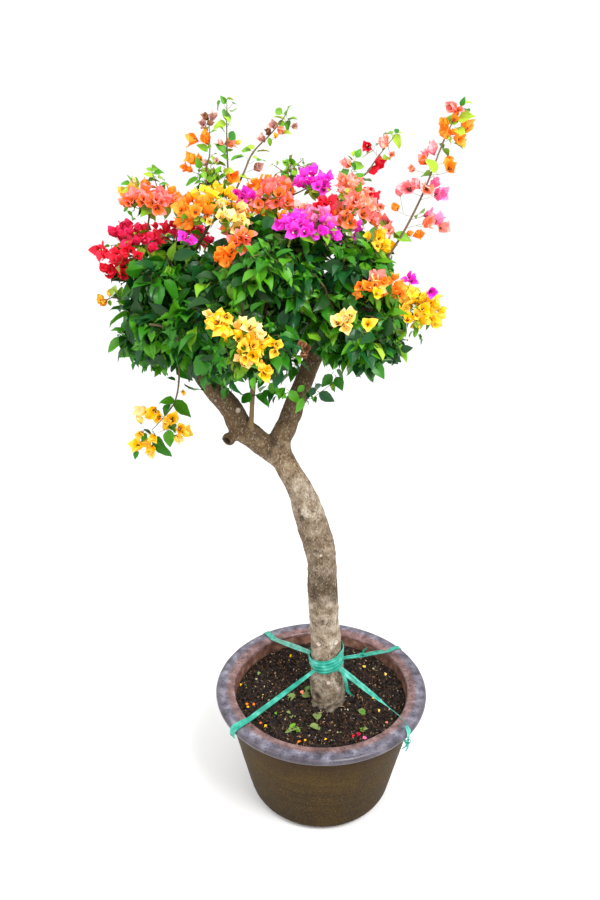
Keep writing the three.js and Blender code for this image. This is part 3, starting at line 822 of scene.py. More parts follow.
def flower_shapes(count, least, most):
    """Flowers of three bracts round three slim tubes, facing +Z, open by some angle from the axis."""
    shapes = []
    for i in range(count):
        points, faces, parts, total = [], [], [], 0
        opening = rng.uniform(least, most)
        bands_of = np.array([THROAT, BLADE, TIP, TIP, TIP] if i % 2 else [THROAT, BLADE, BLADE, TIP, TIP])
        for turn in range(3):
            fold = rng.uniform(0.2, 0.6)
            curl, wave = rng.uniform(-0.2, 0.25), rng.uniform(0.03, 0.1)
            one, ways, bands = blade(BRACT_SPANS, fold, curl, wave, i + turn)
            one = turned_about(one, math.pi / 2 - opening + rng.uniform(-0.15, 0.15), 1, 2)
            one[:, 1] += 0.03
            bearing = turn * 2 * math.pi / 3 + rng.uniform(-0.2, 0.2)
            points.append(turned_about(one, bearing, 0, 1))
            faces.append(ways + total)
            parts.append(bands_of[bands])
            total += len(one)
            lean = 0.25
            foot = np.array([math.sin(-bearing) * 0.04, math.cos(bearing) * 0.04, 0.02])
            head = foot + np.array([math.sin(-bearing) * lean, math.cos(bearing) * lean, 0.9]) * 0.42
            tube, rounds = sweep([foot, head], [0.03, 0.05], 4)
            points.append(tube)
            faces.append(rounds + total)
            parts.append(np.full(len(rounds), TUBE))
            total += len(tube)
            if (3 * i + turn) % STAR_EVERY == 0:
                around = np.arange(5) * 2 * math.pi / 5
                rim = [head + 0.07 * np.array([math.cos(a), math.sin(a), 0.1]) for a in around]
                points.append(np.vstack([[head], rim]))
                faces.append(np.array([(0, 1 + k, 1 + (k + 1) % 5) for k in range(5)]) + total)
                parts.append(np.full(5, STAR))
                total += 6
        shapes.append((np.vstack(points), np.vstack(faces), np.concatenate(parts)))
    return shapes


OPEN_FLOWERS = flower_shapes(16, 0.35, 0.85)
BELL_FLOWERS = flower_shapes(9, 0.24, 0.5)


def lay_flower(pile, place, facing, size, colour, shapes=OPEN_FLOWERS):
    """Lays one flower with its foot at a place, opened towards a given way."""
    points, faces, parts = shapes[rng.integers(len(shapes))]
    facing = unit(facing)
    side = unit(np.cross(facing, rng.normal(size=3)))
    rows = np.array([side, np.cross(facing, side), facing])
    finishes = np.array(BRACT[colour] + [FLOWER_TUBE, FLOWER_STAR])
    pile.lay(place + points * size @ rows, faces, finishes[parts])


# ---- Masses of the crown, read from the frame ----
TRIES = 9  # how many points are tried for each patch of skin as wide as their spacing


class Mass:
    """One foliage or flowering mass: its skin points, each with the way it faces."""

    def __init__(self, node):
        self.node = node
        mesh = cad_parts[node].data
        mesh.calc_loop_triangles()
        self.corners = np.array([v.co for v in mesh.vertices])
        self.triangles = np.array([t.vertices for t in mesh.loop_triangles])
        self.middle = self.corners.mean(axis=0)

    def skin(self, spacing, others=None, clearance=2 * MM):
        """Evenly strewn points on the open part of the skin, away from where it meets other masses."""
        a, b, c = (self.corners[self.triangles[:, i]] for i in range(3))
        crosses = np.cross(b - a, c - a)
        areas = np.linalg.norm(crosses, axis=1)
        count = int(areas.sum() / 2 / spacing**2 * TRIES)
        picks = rng.choice(len(areas), count, p=areas / areas.sum())
        u, v = rng.uniform(size=(2, count, 1))
        flip = (u + v) > 1
        u, v = np.where(flip, 1 - u, u), np.where(flip, 1 - v, v)
        spots = a[picks] + u * (b - a)[picks] + v * (c - a)[picks]
        ways = crosses[picks] / areas[picks, None]
        kept = []
        for spot, way in zip(spots, ways):
            if kept and np.min(np.linalg.norm(np.array([k[0] for k in kept]) - spot, axis=1)) < spacing:
                continue
            if others is None or others.find_nearest(Vector(spot), clearance)[0] is None:
                kept.append((spot, unit(0.6 * way + 0.4 * unit(spot - self.middle))))
        return kept


CROWN_NODES = [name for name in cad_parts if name.startswith(("foliage_", "bloom_", "leaves_"))]
MASSES = {name: Mass(name) for name in sorted(CROWN_NODES)}


def tree_of(names):
    """A search tree over the skins of several masses."""
    points, faces = [], []
    for name in names:
        mass = MASSES[name]
        faces += (mass.triangles + len(points)).tolist()
        points += mass.corners.tolist()
    return BVHTree.FromPolygons(points, faces)


# ---- Wood inside the crown ----
TWIG_TIP = 0.8 * MM
TWIG_LOAD = 4.5  # the knots of wood that a twig carries before it begins to thicken
PIPE_POWER = 2.25  # the load that a bough carries goes with its radius to this power
STOUT = 5 * MM
THICKEST = 17 * MM
LONGEST_BEND = 45 * MM  # how far wood keeps its old heading before it turns to its target
CROWN_AXIS = mm(-110, 10, 0)
LONG_BOUGH = 300 * MM  # a bough this long bows in fully, and a shorter one less
DRAWN_IN = 0.25  # how far a long bough bows in, as a share of the way to the crown's axis


class Wood:
    """Boughs and twigs that grow on from the limbs, each from the nearest wood that points its way."""

    def __init__(self):
        self.places, self.headings, self.parents, self.runs = [], [], [], []

    def root(self, place, heading):
        self.places.append(np.asarray(place))
        self.headings.append(unit(np.asarray(heading)))
        self.parents.append(-1)

    def reach(self, target, step=20 * MM, turning=0.4):
        """Grows a run of wood to a target, and gives the way it arrives."""
        places, headings = np.array(self.places), np.array(self.headings)
        away = target - places
        gaps = np.linalg.norm(away, axis=1)
        ahead = np.einsum("ij,ij->i", away, headings) / np.maximum(gaps, 1e-6)
        start = int(np.argmin(gaps * (1 + turning * (1 - ahead))))
        gap = gaps[start]
        count = max(2, round(gap / step))
        bend = places[start] + 0.25 * away[start] + headings[start] * min(0.25 * gap, LONGEST_BEND)
        bend[:2] += min(gap / LONG_BOUGH, 1.0) * DRAWN_IN * (CROWN_AXIS - bend)[:2]
        wander = rng.normal(size=3) * gap * 0.07
        run, parent = [start], start
        for i in range(1, count + 1):
            t = i / count
            place = (1 - t) ** 2 * places[start] + 2 * t * (1 - t) * bend + t**2 * target
            place = place + wander * math.sin(math.pi * t)
            self.headings.append(unit(place - self.places[parent]))
            self.places.append(place)
            self.parents.append(parent)
            parent = len(self.places) - 1
            run.append(parent)
        self.runs.append(run)
        return self.headings[-1]

    def lay(self, boughs, twigs):
        """Lays all the wood, each stretch as thick as the wood that it carries asks for."""
        load = np.ones(len(self.places))
        for i in range(len(self.places) - 1, -1, -1):
            if self.parents[i] >= 0:
                load[self.parents[i]] += load[i]
        radii = np.minimum(TWIG_TIP * np.maximum(load / TWIG_LOAD, 1.0) ** (1 / PIPE_POWER), THICKEST)
        places = np.array(self.places)
        for run in self.runs:
            widths = radii[run]
            widths[0] = widths[1]
            if widths[0] > STOUT:
                fine = 3 * len(run)
                spread = np.interp(np.linspace(0, 1, fine), np.linspace(0, 1, len(run)), widths)
                spread = spread * (1 + 0.1 * np.sin(np.arange(fine) * 1.7 + len(run)))
                boughs.lay(*sweep(flow(places[run], fine), spread, 12), BARK)
            else:
                twigs.lay(*sweep(places[run], widths, 5 if widths[0] > 2 * MM else 3), YOUNG_WOOD)


# ---- What each mass bears ----
# The share of each leaf tone: in the crown and on top of it, on the fringe under it, on young tips,
# on its right side, and on the shoot that hangs from it.
CROWN_TONES = {"deep": 0.26, "teal": 0.2, "mid": 0.32, "bright": 0.17, "fresh": 0.05}
FRINGE_TONES = {"deep": 0.22, "teal": 0.12, "mid": 0.38, "bright": 0.2, "fresh": 0.07, "young": 0.01}
TIP_TONES = {"mid": 0.08, "bright": 0.27, "fresh": 0.38, "young": 0.27}
RIGHT_TONES = {"deep": 0.14, "teal": 0.12, "mid": 0.34, "bright": 0.28, "fresh": 0.1, "young": 0.02}
HANGING_TONES = {"teal": 0.15, "mid": 0.55, "bright": 0.3}

# The colours of each flowering mass, dealt out by cluster. A second row is for its lower half.
BLOOM_COLOURS = {
    "bloom_red_left": [{"crimson": 0.45, "red": 0.55}, {"red": 0.85, "crimson": 0.15}],
    "bloom_salmon_left": [{"flame": 0.65, "salmon": 0.2, "orange": 0.15}, {"flame": 0.6, "orange": 0.4}],
    "bloom_yellow_top": [
        {"yellow": 0.6, "cream": 0.15, "orange": 0.25}, {"orange": 0.42, "yellow": 0.48, "cream": 0.1},
    ],
    "bloom_orange_top": [{"salmon": 0.35, "flame": 0.35, "orange": 0.3}, {"orange": 0.5, "flame": 0.5}],
    "bloom_magenta_high": [{"magenta": 1.0}],
    "bloom_magenta_front": [{"magenta": 0.85, "pink": 0.15}, {"magenta": 1.0}],
    "bloom_orange_right": [{"salmon": 0.6, "flame": 0.3, "orange": 0.1}, {"orange": 0.5, "flame": 0.5}],
    "bloom_yellow_right": [{"yellow": 1.0}],
    "bloom_orange_side": [{"orange": 0.55, "cream": 0.2, "flame": 0.25}, {"orange": 0.6, "yellow": 0.4}],
    "bloom_yellow_side": [{"yellow": 0.85, "orange": 0.15}, {"yellow": 1.0}],
    "bloom_yellow_front": [{"yellow": 0.7, "cream": 0.3}],
    "bloom_red_back": [{"red": 0.8, "crimson": 0.2}],
    "bloom_orange_back": [{"flame": 0.5, "orange": 0.5}],
    "bloom_magenta_back": [{"magenta": 0.9, "pink": 0.1}],
    "bloom_yellow_back": [{"yellow": 0.8, "cream": 0.2}],
}
# Masses whose flowers stand in lobes, with leaves between them: x, z and reach of each lobe, in mm.
LOBES = {
    "bloom_yellow_front": [
        (-190, 1338, 36), (-160, 1322, 26), (-126, 1322, 42), (-160, 1278, 22), (-120, 1268, 22),
    ],
}
# Parts of a mass that bear nothing, where the sky shows: x, z and reach of each, in mm.
BARE_PARTS = {
    "bloom_red_left": [(-468, 1484, 36)],
    "foliage_left": [(-466, 1293, 26)],
}
# How open a mass is: the share of its flowers left out, and of its clusters that have leaves in front.
OPENNESS = {
    "bloom_red_left": (0.2, 0.3),
    "bloom_yellow_top": (0.16, 0.24),
    "bloom_orange_right": (0.15, 0.225),
    "bloom_yellow_front": (0.0, 0.0),
}
USUAL_OPENNESS = (0.08, 0.15)

# Small clusters beside the masses: x, y, z and spread in mm, then the flowers' number, size and colour.
SMALL_CLUSTERS = [
    (-196, -163, 1436, 20, 5, 26, "orange"),
    (-165, -152, 1464, 20, 5, 26, "flame"),
    (-176, -60, 1538, 19, 4, 28, "magenta"),
    (-148, -50, 1540, 12, 2, 25, "magenta"),
    (-275, -122, 1461, 14, 2, 25, "magenta"),
    (-5, -75, 1524, 18, 5, 26, "red"),
    (96, 0, 1540, 18, 3, 30, "red"),
    (-420, -80, 1408, 22, 5, 29, "red"),
    (-450, -78, 1398, 10, 2, 24, "red"),
    (32, -190, 1318, 20, 5, 26, "cream"),
    (101, -150, 1385, 16, 3, 24, "cream"),
    (72, -185, 1309, 8, 1, 27, "yellow"),
    (166, -105, 1384, 10, 2, 21, "magenta"),
    (207, -100, 1360, 6, 1, 28, "magenta"),
    (119, -130, 1280, 4, 1, 24, "faded"),
    (-48, -186, 1262, 12, 3, 21, "brown"),
    (-197, -282, 1329, 20, 5, 27, "yellow"),
    (-212, -272, 1336, 12, 2, 25, "cream"),
    (-103, -282, 1289, 14, 3, 27, "yellow"),
    (-161, -280, 1254, 11, 2, 27, "cream"),
    (-150, -282, 1268, 10, 2, 26, "yellow"),
    (-121, -280, 1243, 11, 3, 24, "yellow"),
    (-50, -70, 1518, 16, 3, 25, "salmon"),
    (-27, -100, 1508, 10, 2, 24, "pink"),
]

# Sprays that hang below the crown, round the limbs: x, y, z of each twig's end, in mm.
HANGING_SPRAYS = [
    (-213, -62, 1146), (-160, -75, 1132), (-128, -60, 1140), (-106, -62, 1132), (-84, -60, 1136),
    (-44, -62, 1124), (-22, -60, 1128), (20, -50, 1158), (-250, -50, 1160), (-66, 20, 1150),
    (-190, 30, 1160), (-384, -60, 1198), (-359, -70, 1188), (-408, -50, 1206),
]

# The layers of sprays in a foliage mass, and in a thin tuft on top: their spacing, and how deep they lie.
FOLIAGE_LAYERS = [(28 * MM, 24 * MM), (42 * MM, 58 * MM)]
TUFT_LAYERS = [(31 * MM, 13 * MM)]
BOUGH_SPACING = 115 * MM
FLOWER_SPACING = 18 * MM
FLOWER_DEPTHS = (3 * MM, 30 * MM)
CLUSTER_SPACING = 52 * MM
CLUSTER_DEPTH = 34 * MM  # how deep under the skin the twig of a cluster ends
FRONT_DEPTH = 12 * MM  # and how deep the leaves in front of a cluster do
LEAF_LENGTH = 47 * MM
TIP_LEAF_LENGTH = 27 * MM
LEAF_PITCH = 8 * MM  # how far apart the leaves of a spray leave their twig
ONE_TONE = 0.75  # the share of a spray's leaves that are in its own tone
FLOWER_SIZE = 25.5 * MM
FRINGE_GROWTH = 0.85  # how large a leaf on the fringe is beside one in the crown
FRINGE_TOP = 1235 * MM  # foliage below this height is fringe
RIGHT_SIDE = 20 * MM  # foliage past this place is on the crown's right side
UNDERSIDE = -0.35  # a skin that faces down more than this is fringe, and bears no flowers
SUNK = 0.45  # how far a flower's foot lies behind its middle, as a share of its size
STALK = 0.45 * MM
LEAFY = 0.8  # the share of clusters that have leaves at their foot
BETWEEN_LOBES = 0.4  # the share of places between two lobes that bear leaves
FORK_SIDES = (-200, -50)  # mm
FORK_CLEAR = 1170  # mm: nothing that grows between those sides hangs lower than this
SIGHT_SLOPE = 0.25  # how much that height rises for each unit towards the eye


def over_the_fork(spot):
    """Whether a spot is low between the limbs, where the fork stays in view."""
    x, y, z = spot / MM
    return FORK_SIDES[0] < x < FORK_SIDES[1] and z < FORK_CLEAR - SIGHT_SLOPE * y


def within(parts, spot):
    """Whether a spot is in one of a mass's parts, seen from the front."""
    return any(math.hypot(spot[0] - x * MM, spot[2] - z * MM) < reach * MM for x, z, reach in parts)


def deal(shares):
    """One of the names, picked at random by their shares."""
    names = list(shares)
    weights = np.array([shares[name] for name in names])
    return names[rng.choice(len(names), p=weights / weights.sum())]


def spray(pile, tip, heading, outward, count, length, tones):
    """Leaves set spirally along the end of a twig, drooping a little, with their faces to the light."""
    tone = deal(tones)
    turn = rng.uniform(0, 2 * math.pi)
    side = unit(np.cross(heading, UP + 0.1 * rng.normal(size=3)))
    other = np.cross(heading, side)
    sideways = outward * np.array([1.0, 1.0, 0.0])
    for i in range(count):
        turn += GOLDEN_ANGLE
        around = math.cos(turn) * side + math.sin(turn) * other
        foot = tip - heading * (i * LEAF_PITCH) + rng.normal(size=3) * MM
        size = length * rng.uniform(0.6, 1.2) * (0.6 if i == 0 else 1.0)
        axis = around * 0.85 + outward * 0.25 + heading * 0.2 - UP * rng.uniform(0.1, 0.95)
        facing = UP * 0.7 + 0.52 * sideways + rng.normal(size=3) * 0.55
        shade = tone if rng.random() < ONE_TONE else deal(tones)
        lay_leaf(pile, foot, axis, facing, size, rng.uniform(0.8, 1.08), LEAF[shade])


def tones_at(spot, way):
    """Leaves are fresher on the fringe under the crown and on its right, and deep green elsewhere."""
    low = spot[2] < FRINGE_TOP or way[2] < UNDERSIDE
    return FRINGE_TONES if low else RIGHT_TONES if spot[0] > RIGHT_SIDE else CROWN_TONES


def bear_leaves(mass, others, wood, pile):
    """Sprays on the skin of a mass and under it, at uneven depths, so that dark gaps stay between them."""
    small = mass.node.startswith("leaves_")
    length = TIP_LEAF_LENGTH if small else LEAF_LENGTH
    for spacing, inset in TUFT_LAYERS if small else FOLIAGE_LAYERS:
        for spot, way in mass.skin(spacing, others, 2 * MM):
            tip = spot - way * inset * rng.uniform(0.3, 1.7)
            if over_the_fork(tip) or within(BARE_PARTS.get(mass.node, []), spot):
                continue
            heading = unit(wood.reach(tip) + 0.8 * way)
            tones = TIP_TONES if small else tones_at(spot, way)
            grown = length * (FRINGE_GROWTH if tones is FRINGE_TONES else 1.0)
            count = rng.integers(3, 5) if small else rng.integers(4, 7)
            spray(pile, tip, heading, way, count, grown, tones)


def bear_one(pile, stalks, tip, place, facing, size, colour, shapes=OPEN_FLOWERS):
    """One flower on a thin bent stalk."""
    knee = 0.5 * (tip + place) - facing * 0.15 * np.linalg.norm(place - tip)
    stalks.lay(*sweep(flow([tip, knee, place], 4), STALK, 3), GREEN_STEM)
    lay_flower(pile, place, facing, size, colour, shapes)


def colour_at(mass, spot):
    """The colour of a cluster, by whether it is in the upper or the lower half of its mass."""
    rows = BLOOM_COLOURS[mass.node]
    return deal(rows[-1] if spot[2] < mass.middle[2] else rows[0])


def bear_flowers(mass, others, wood, leaf_pile, pile, stalks):
    """Clusters of flowers: each flower stands on its own stalk from the nearest cluster's twig."""
    clusters, lobes, bare = [], LOBES.get(mass.node), BARE_PARTS.get(mass.node, [])
    left_out, leaves_in_front = OPENNESS.get(mass.node, USUAL_OPENNESS)
    for spot, way in mass.skin(CLUSTER_SPACING, others, 4 * MM):
        tip = spot - way * CLUSTER_DEPTH
        wood.reach(tip)
        clusters.append((tip, colour_at(mass, spot)))
        if rng.random() < LEAFY:
            spray(leaf_pile, tip, way, way, rng.integers(2, 4), TIP_LEAF_LENGTH * 1.2, TIP_TONES)
        if rng.random() < leaves_in_front:
            spray(leaf_pile, spot - way * FRONT_DEPTH, way, way, 3, TIP_LEAF_LENGTH, TIP_TONES)
    tips = np.array([tip for tip, _ in clusters])
    for spot, way in mass.skin(FLOWER_SPACING, others, 4 * MM):
        place = spot - way * rng.uniform(*FLOWER_DEPTHS)
        tip, colour = clusters[int(np.argmin(np.linalg.norm(tips - place, axis=1)))]
        if lobes and not within(lobes, spot):
            if rng.random() < BETWEEN_LOBES:
                spray(leaf_pile, place, way, way, rng.integers(2, 4), LEAF_LENGTH * 0.8, CROWN_TONES)
            continue
        if way[2] < UNDERSIDE or (mass.node.endswith("_back") and way[1] < 0) or within(bare, spot):
            continue
        if rng.random() < left_out:
            continue
        facing = unit(way + 0.5 * unit(place - tip) + 0.3 * UP + 0.45 * rng.normal(size=3))
        size = FLOWER_SIZE * rng.uniform(0.75, 1.15)
        foot = place - facing * SUNK * size
        bear_one(pile, stalks, tip, foot, facing, size, colour)


def bear_small_cluster(cluster, wood, pile, stalks):
    """A few flowers set spirally round the end of one twig, turned to the front."""
    x, y, z, spread, count, size, colour = cluster
    centre = mm(x, y, z)
    tip = centre + mm(0, 24, -20)
    wood.reach(tip)
    for i in range(count):
        way = unit(np.array([math.cos(i * GOLDEN_ANGLE), -0.45, math.sin(i * GOLDEN_ANGLE)]))
        place = centre + way * spread * MM * math.sqrt((i + 0.4) / count)
        facing = unit(0.6 * way + np.array([0.0, -0.6, 0.4]) + 0.35 * rng.normal(size=3))
        long = size * MM * rng.uniform(0.9, 1.1)
        bear_one(pile, stalks, tip, place - facing * SUNK * long, facing, long, colour)


def grow_crown(wood, greens, blooms, stalks):
    """Grows a bough to every mass and its lobes, then twigs to its skin, with leaves or flowers on them."""
    order = sorted(MASSES, key=lambda name: MASSES[name].middle[2])
    searches = {name: tree_of([other for other in MASSES if other != name]) for name in MASSES}
    for name in order:
        wood.reach(MASSES[name].middle, turning=0.25)
    for name in order:
        mass = MASSES[name]
        for spot, way in mass.skin(BOUGH_SPACING, searches[name], 4 * MM):
            wood.reach(mass.middle + 0.55 * (spot - mass.middle), turning=0.3)
    for name in order:
        if name.startswith("bloom_"):
            bear_flowers(MASSES[name], searches[name], wood, greens["among_bracts"], blooms[name], stalks)
        else:
            bear_leaves(MASSES[name], searches[name], wood, greens[name])
    for cluster in SMALL_CLUSTERS:
        bear_small_cluster(cluster, wood, blooms["small_clusters"], stalks)
    for place in HANGING_SPRAYS:
        tip = mm(*place)
        wood.reach(tip)
        outward = np.array([0.1 * rng.normal(), -0.5, -0.4])
        spray(greens["under_crown"], tip, -UP, outward, rng.integers(3, 6), LEAF_LENGTH * 0.8, FRINGE_TONES)


# ---- Long shoots ----
# Each shoot has its stem as x, y, z in mm, its girth as a multiple of SHOOT_RADII, its leaves as x, z
# and length, and its flowers as x, z, size and colour. One has its own droop and tones for its leaves.
# Leaves and flowers lie about as far forward as the stem beside them.
SHOOTS = {
    "left_tall": {
        "stem": [(-205, 22, 1545), (-207, 28, 1606), (-207, 30, 1664), (-205, 30, 1716)],
        "girth": 0.8,
        "leaves": [
            (-225, 1717, 22), (-212, 1727, 15), (-195, 1727, 15), (-189, 1719, 15), (-193, 1707, 14),
            (-209, 1701, 30), (-222, 1679, 24), (-221, 1637, 27), (-195, 1662, 24), (-202, 1690, 16),
            (-215, 1672, 15), (-212, 1620, 16), (-199, 1632, 14),
        ],
        "flowers": [(-202, 1648, 24, "salmon"), (-220, 1647, 13, "salmon"), (-186, 1648, 12, "yellow")],
    },
    "left_short": {
        "stem": [(-251, -2, 1535), (-248, -6, 1593), (-239, -10, 1625), (-237, -15, 1681)],
        "girth": 0.8,
        "leaves": [
            (-246, 1668, 13), (-229, 1665, 15), (-254, 1636, 22), (-237, 1639, 18), (-231, 1624, 12),
            (-245, 1593, 18), (-261, 1584, 18), (-266, 1570, 14), (-222, 1596, 18), (-236, 1578, 20),
            (-214, 1582, 17), (-222, 1564, 22), (-204, 1592, 16), (-250, 1562, 20), (-230, 1606, 15),
        ],
        "flowers": [
            (-274, 1650, 26, "orange"), (-246, 1652, 26, "orange"), (-276, 1614, 26, "orange"),
            (-260, 1615, 15, "orange"), (-293, 1598, 18, "orange"), (-282, 1594, 14, "orange"),
            (-252, 1606, 15, "faded"), (-230, 1693, 19, "faded"), (-242, 1691, 17, "brown"),
            (-251, 1677, 18, "faded"), (-236, 1681, 14, "brown"), (-225, 1610, 12, "faded"),
            (-196, 1580, 30, "orange"),
        ],
    },
    "middle": {
        "stem": [(-199, 25, 1540), (-175, 52, 1591), (-156, 66, 1630), (-117, 78, 1668), (-86, 86, 1704)],
        "girth": 0.85,
        "leaves": [
            (-103, 1712, 24), (-101, 1700, 22), (-82, 1716, 22), (-71, 1698, 20), (-82, 1683, 20),
            (-85, 1669, 22), (-174, 1637, 22), (-161, 1642, 15), (-133, 1632, 22), (-189, 1618, 26),
            (-136, 1616, 20), (-173, 1579, 24), (-149, 1618, 13), (-93, 1688, 18), (-120, 1650, 15),
        ],
        "flowers": [
            (-111, 1683, 20, "faded"), (-97, 1675, 19, "salmon"), (-124, 1670, 16, "brown"),
            (-68, 1682, 15, "faded"), (-136, 1656, 19, "faded"), (-146, 1600, 22, "faded"),
            (-108, 1664, 11, "yellow"),
        ],
    },
    "far_left": {
        "stem": [(-354, 28, 1520), (-356, 32, 1549), (-360, 34, 1566), (-367, 36, 1590)],
        "girth": 0.7,
        "leaves": [
            (-373, 1597, 14), (-361, 1598, 16), (-353, 1590, 20), (-375, 1585, 18), (-350, 1578, 20),
            (-342, 1567, 22), (-349, 1556, 22), (-368, 1560, 18), (-374, 1576, 16), (-360, 1574, 18),
        ],
        "flowers": [],
    },
    "far_left_side": {
        "stem": [(-398, 26, 1522), (-407, 30, 1547), (-411, 32, 1568)],
        "girth": 0.6,
        "leaves": [
            (-417, 1580, 15), (-426, 1568, 18), (-399, 1561, 20), (-415, 1554, 22), (-406, 1546, 18),
            (-400, 1573, 16), (-424, 1556, 16),
        ],
        "flowers": [(-408, 1573, 17, "cream"), (-386, 1566, 24, "orange"), (-436, 1554, 18, "yellow")],
    },
    "right": {
        "stem": [(56, 22, 1535), (70, 30, 1575), (88, 38, 1592), (107, 45, 1619), (140, 54, 1658)],
        "girth": 0.9,
        "leaves": [
            (128, 1667, 26), (148, 1673, 13), (157, 1668, 15), (150, 1650, 28), (107, 1648, 15),
            (84, 1626, 27), (129, 1617, 22), (86, 1574, 28), (69, 1582, 24), (48, 1619, 15),
            (57, 1629, 15), (67, 1628, 17), (70, 1606, 30), (35, 1592, 32), (55, 1602, 18),
            (32, 1580, 20), (120, 1640, 16),
        ],
        "flowers": [
            (119, 1647, 24, "salmon"), (125, 1657, 14, "salmon"), (85, 1639, 23, "red"),
            (138, 1624, 16, "salmon"), (113, 1607, 26, "red"), (99, 1594, 24, "red"),
            (42, 1607, 24, "salmon"), (55, 1580, 18, "salmon"),
        ],
    },
    "tall_right": {
        "stem": [
            (119, -42, 1410), (159, -38, 1475), (193, -36, 1546), (215, -35, 1606), (233, -34, 1656),
            (262, -30, 1710),
        ],
        "girth": 0.95,
        "leaves": [
            (262, 1717, 15), (275, 1715, 14), (276, 1703, 20), (271, 1688, 30), (240, 1684, 30),
            (260, 1663, 28), (259, 1637, 20), (239, 1628, 20), (243, 1646, 18), (228, 1637, 18),
            (206, 1601, 28), (197, 1584, 24), (187, 1511, 32), (158, 1462, 32), (143, 1468, 24),
            (230, 1708, 13), (213, 1596, 16), (112, 1489, 18),
        ],
        "flowers": [
            (241, 1703, 25, "flame"), (251, 1702, 20, "flame"), (250, 1688, 19, "orange"),
            (227, 1677, 22, "orange"), (231, 1660, 28, "orange"), (246, 1661, 14, "orange"),
            (274, 1674, 30, "orange"), (255, 1650, 24, "orange"), (265, 1646, 20, "orange"),
            (209, 1633, 26, "rose"), (196, 1622, 18, "rose"), (194, 1611, 24, "flame"),
            (242, 1610, 20, "orange"), (245, 1596, 26, "orange"), (168, 1594, 16, "salmon"),
            (163, 1559, 30, "rose"), (178, 1565, 24, "rose"), (145, 1552, 20, "rose"),
            (200, 1559, 32, "salmon"), (218, 1567, 24, "pink"), (228, 1547, 32, "pink"),
            (137, 1522, 20, "orange"), (210, 1507, 22, "pink"), (207, 1492, 32, "salmon"),
            (227, 1498, 26, "pink"), (239, 1483, 28, "salmon"), (170, 1470, 14, "orange"),
            (187, 1470, 22, "orange"), (121, 1494, 30, "rose"), (128, 1478, 26, "salmon"),
            (108, 1522, 17, "salmon"), (104, 1506, 16, "flame"),
        ],
    },
    "side_left": {
        "stem": [(-400, 12, 1318), (-439, 8, 1327), (-464, 4, 1334), (-482, 2, 1329)],
        "girth": 0.8,
        "leaves": [
            (-466, 1350, 16), (-457, 1354, 16), (-449, 1347, 18), (-466, 1334, 20), (-436, 1340, 14),
            (-426, 1342, 13), (-476, 1320, 12), (-452, 1320, 15), (-430, 1314, 17),
        ],
        "flowers": [(-484, 1333, 24, "yellow"), (-486, 1324, 19, "orange"), (-474, 1342, 16, "yellow")],
    },
    "hanging": {
        "stem": [
            (-325, -62, 1245), (-319, -62, 1183), (-330, -61, 1123), (-354, -60, 1086), (-388, -60, 1050),
        ],
        "girth": 0.9,
        "droop": 2.4,
        "tones": HANGING_TONES,
        "leaves": [
            (-307, 1180, 40), (-289, 1140, 44), (-318, 1096, 44), (-349, 1121, 30), (-352, 1098, 26),
            (-367, 1006, 48), (-351, 1027, 34), (-344, 1051, 30), (-427, 992, 18), (-398, 1048, 22),
            (-405, 1035, 20), (-331, 1192, 18), (-328, 1211, 22), (-337, 1170, 16),
        ],
        "flowers": [
            (-405, 1102, 28, "cream"), (-377, 1097, 28, "yellow"), (-393, 1080, 27, "yellow"),
            (-411, 1076, 20, "cream"), (-372, 1080, 28, "yellow"), (-342, 1074, 32, "yellow"),
            (-323, 1054, 30, "yellow"), (-313, 1048, 26, "yellow"), (-331, 1030, 24, "cream"),
            (-421, 1018, 32, "yellow"), (-414, 1041, 24, "yellow"), (-393, 1006, 26, "yellow"),
            (-394, 993, 20, "cream"), (-355, 1069, 24, "yellow"), (-383, 1037, 22, "yellow"),
            (-313, 1137, 14, "yellow"), (-402, 1020, 26, "yellow"), (-360, 1052, 24, "yellow"),
        ],
    },
}
SHOOT_RADII = mm(2.8, 2.4, 1.7, 0.9)
# The shoots whose knots are mostly bracts, with their colour; the knots of the others are leaf.
BRACT_KNOTS = {
    "left_short": "orange",
    "right": "red",
    "tall_right": "salmon",
    "side_left": "yellow",
    "hanging": "yellow",
}
SHOOT_STEP = 7 * MM  # how far apart the rings of a stem are
SIDE_RISE = 0.2  # a side stalk is to rise at least this much for each unit that it runs sideways
FLAT_COST = 1.7  # a start from which it would rise less counts as this many times farther off
DEPTH_SPREAD = 9 * MM  # how far leaves and flowers stand before or behind their stem
BELL = 1.2  # how long a shoot's flower is for its width
ASLANT = 1.28  # how long a shoot's leaf is for the length it shows from the front
LEAF_MIDDLE = 0.7  # where a leaf's middle is, from the foot of its stalk, in leaf lengths


def by_distance(path, things):
    """Leaves or flowers in order of their distance from the stem, so that outer ones fork off inner ones."""
    return sorted(things, key=lambda thing: np.min(np.hypot(*(path[:, (0, 2)] - mm(*thing[:2])).T)))


def side_stalk(path, reached, x, z):
    """Where the stalk to a leaf or flower begins, on the stem or on an earlier stalk, and where it ends."""
    beside = path[int(np.argmin(np.hypot(path[:, 0] - x * MM, path[:, 2] - z * MM)))]
    place = np.array([x * MM, beside[1] + rng.normal() * DEPTH_SPREAD, z * MM])
    starts = np.array(reached)
    away = place - starts
    steep = away[:, 2] > SIDE_RISE * np.abs(away[:, 0])
    cost = np.linalg.norm(away, axis=1) * np.where(steep, 1.0, FLAT_COST)
    return starts[int(np.argmin(cost))], place


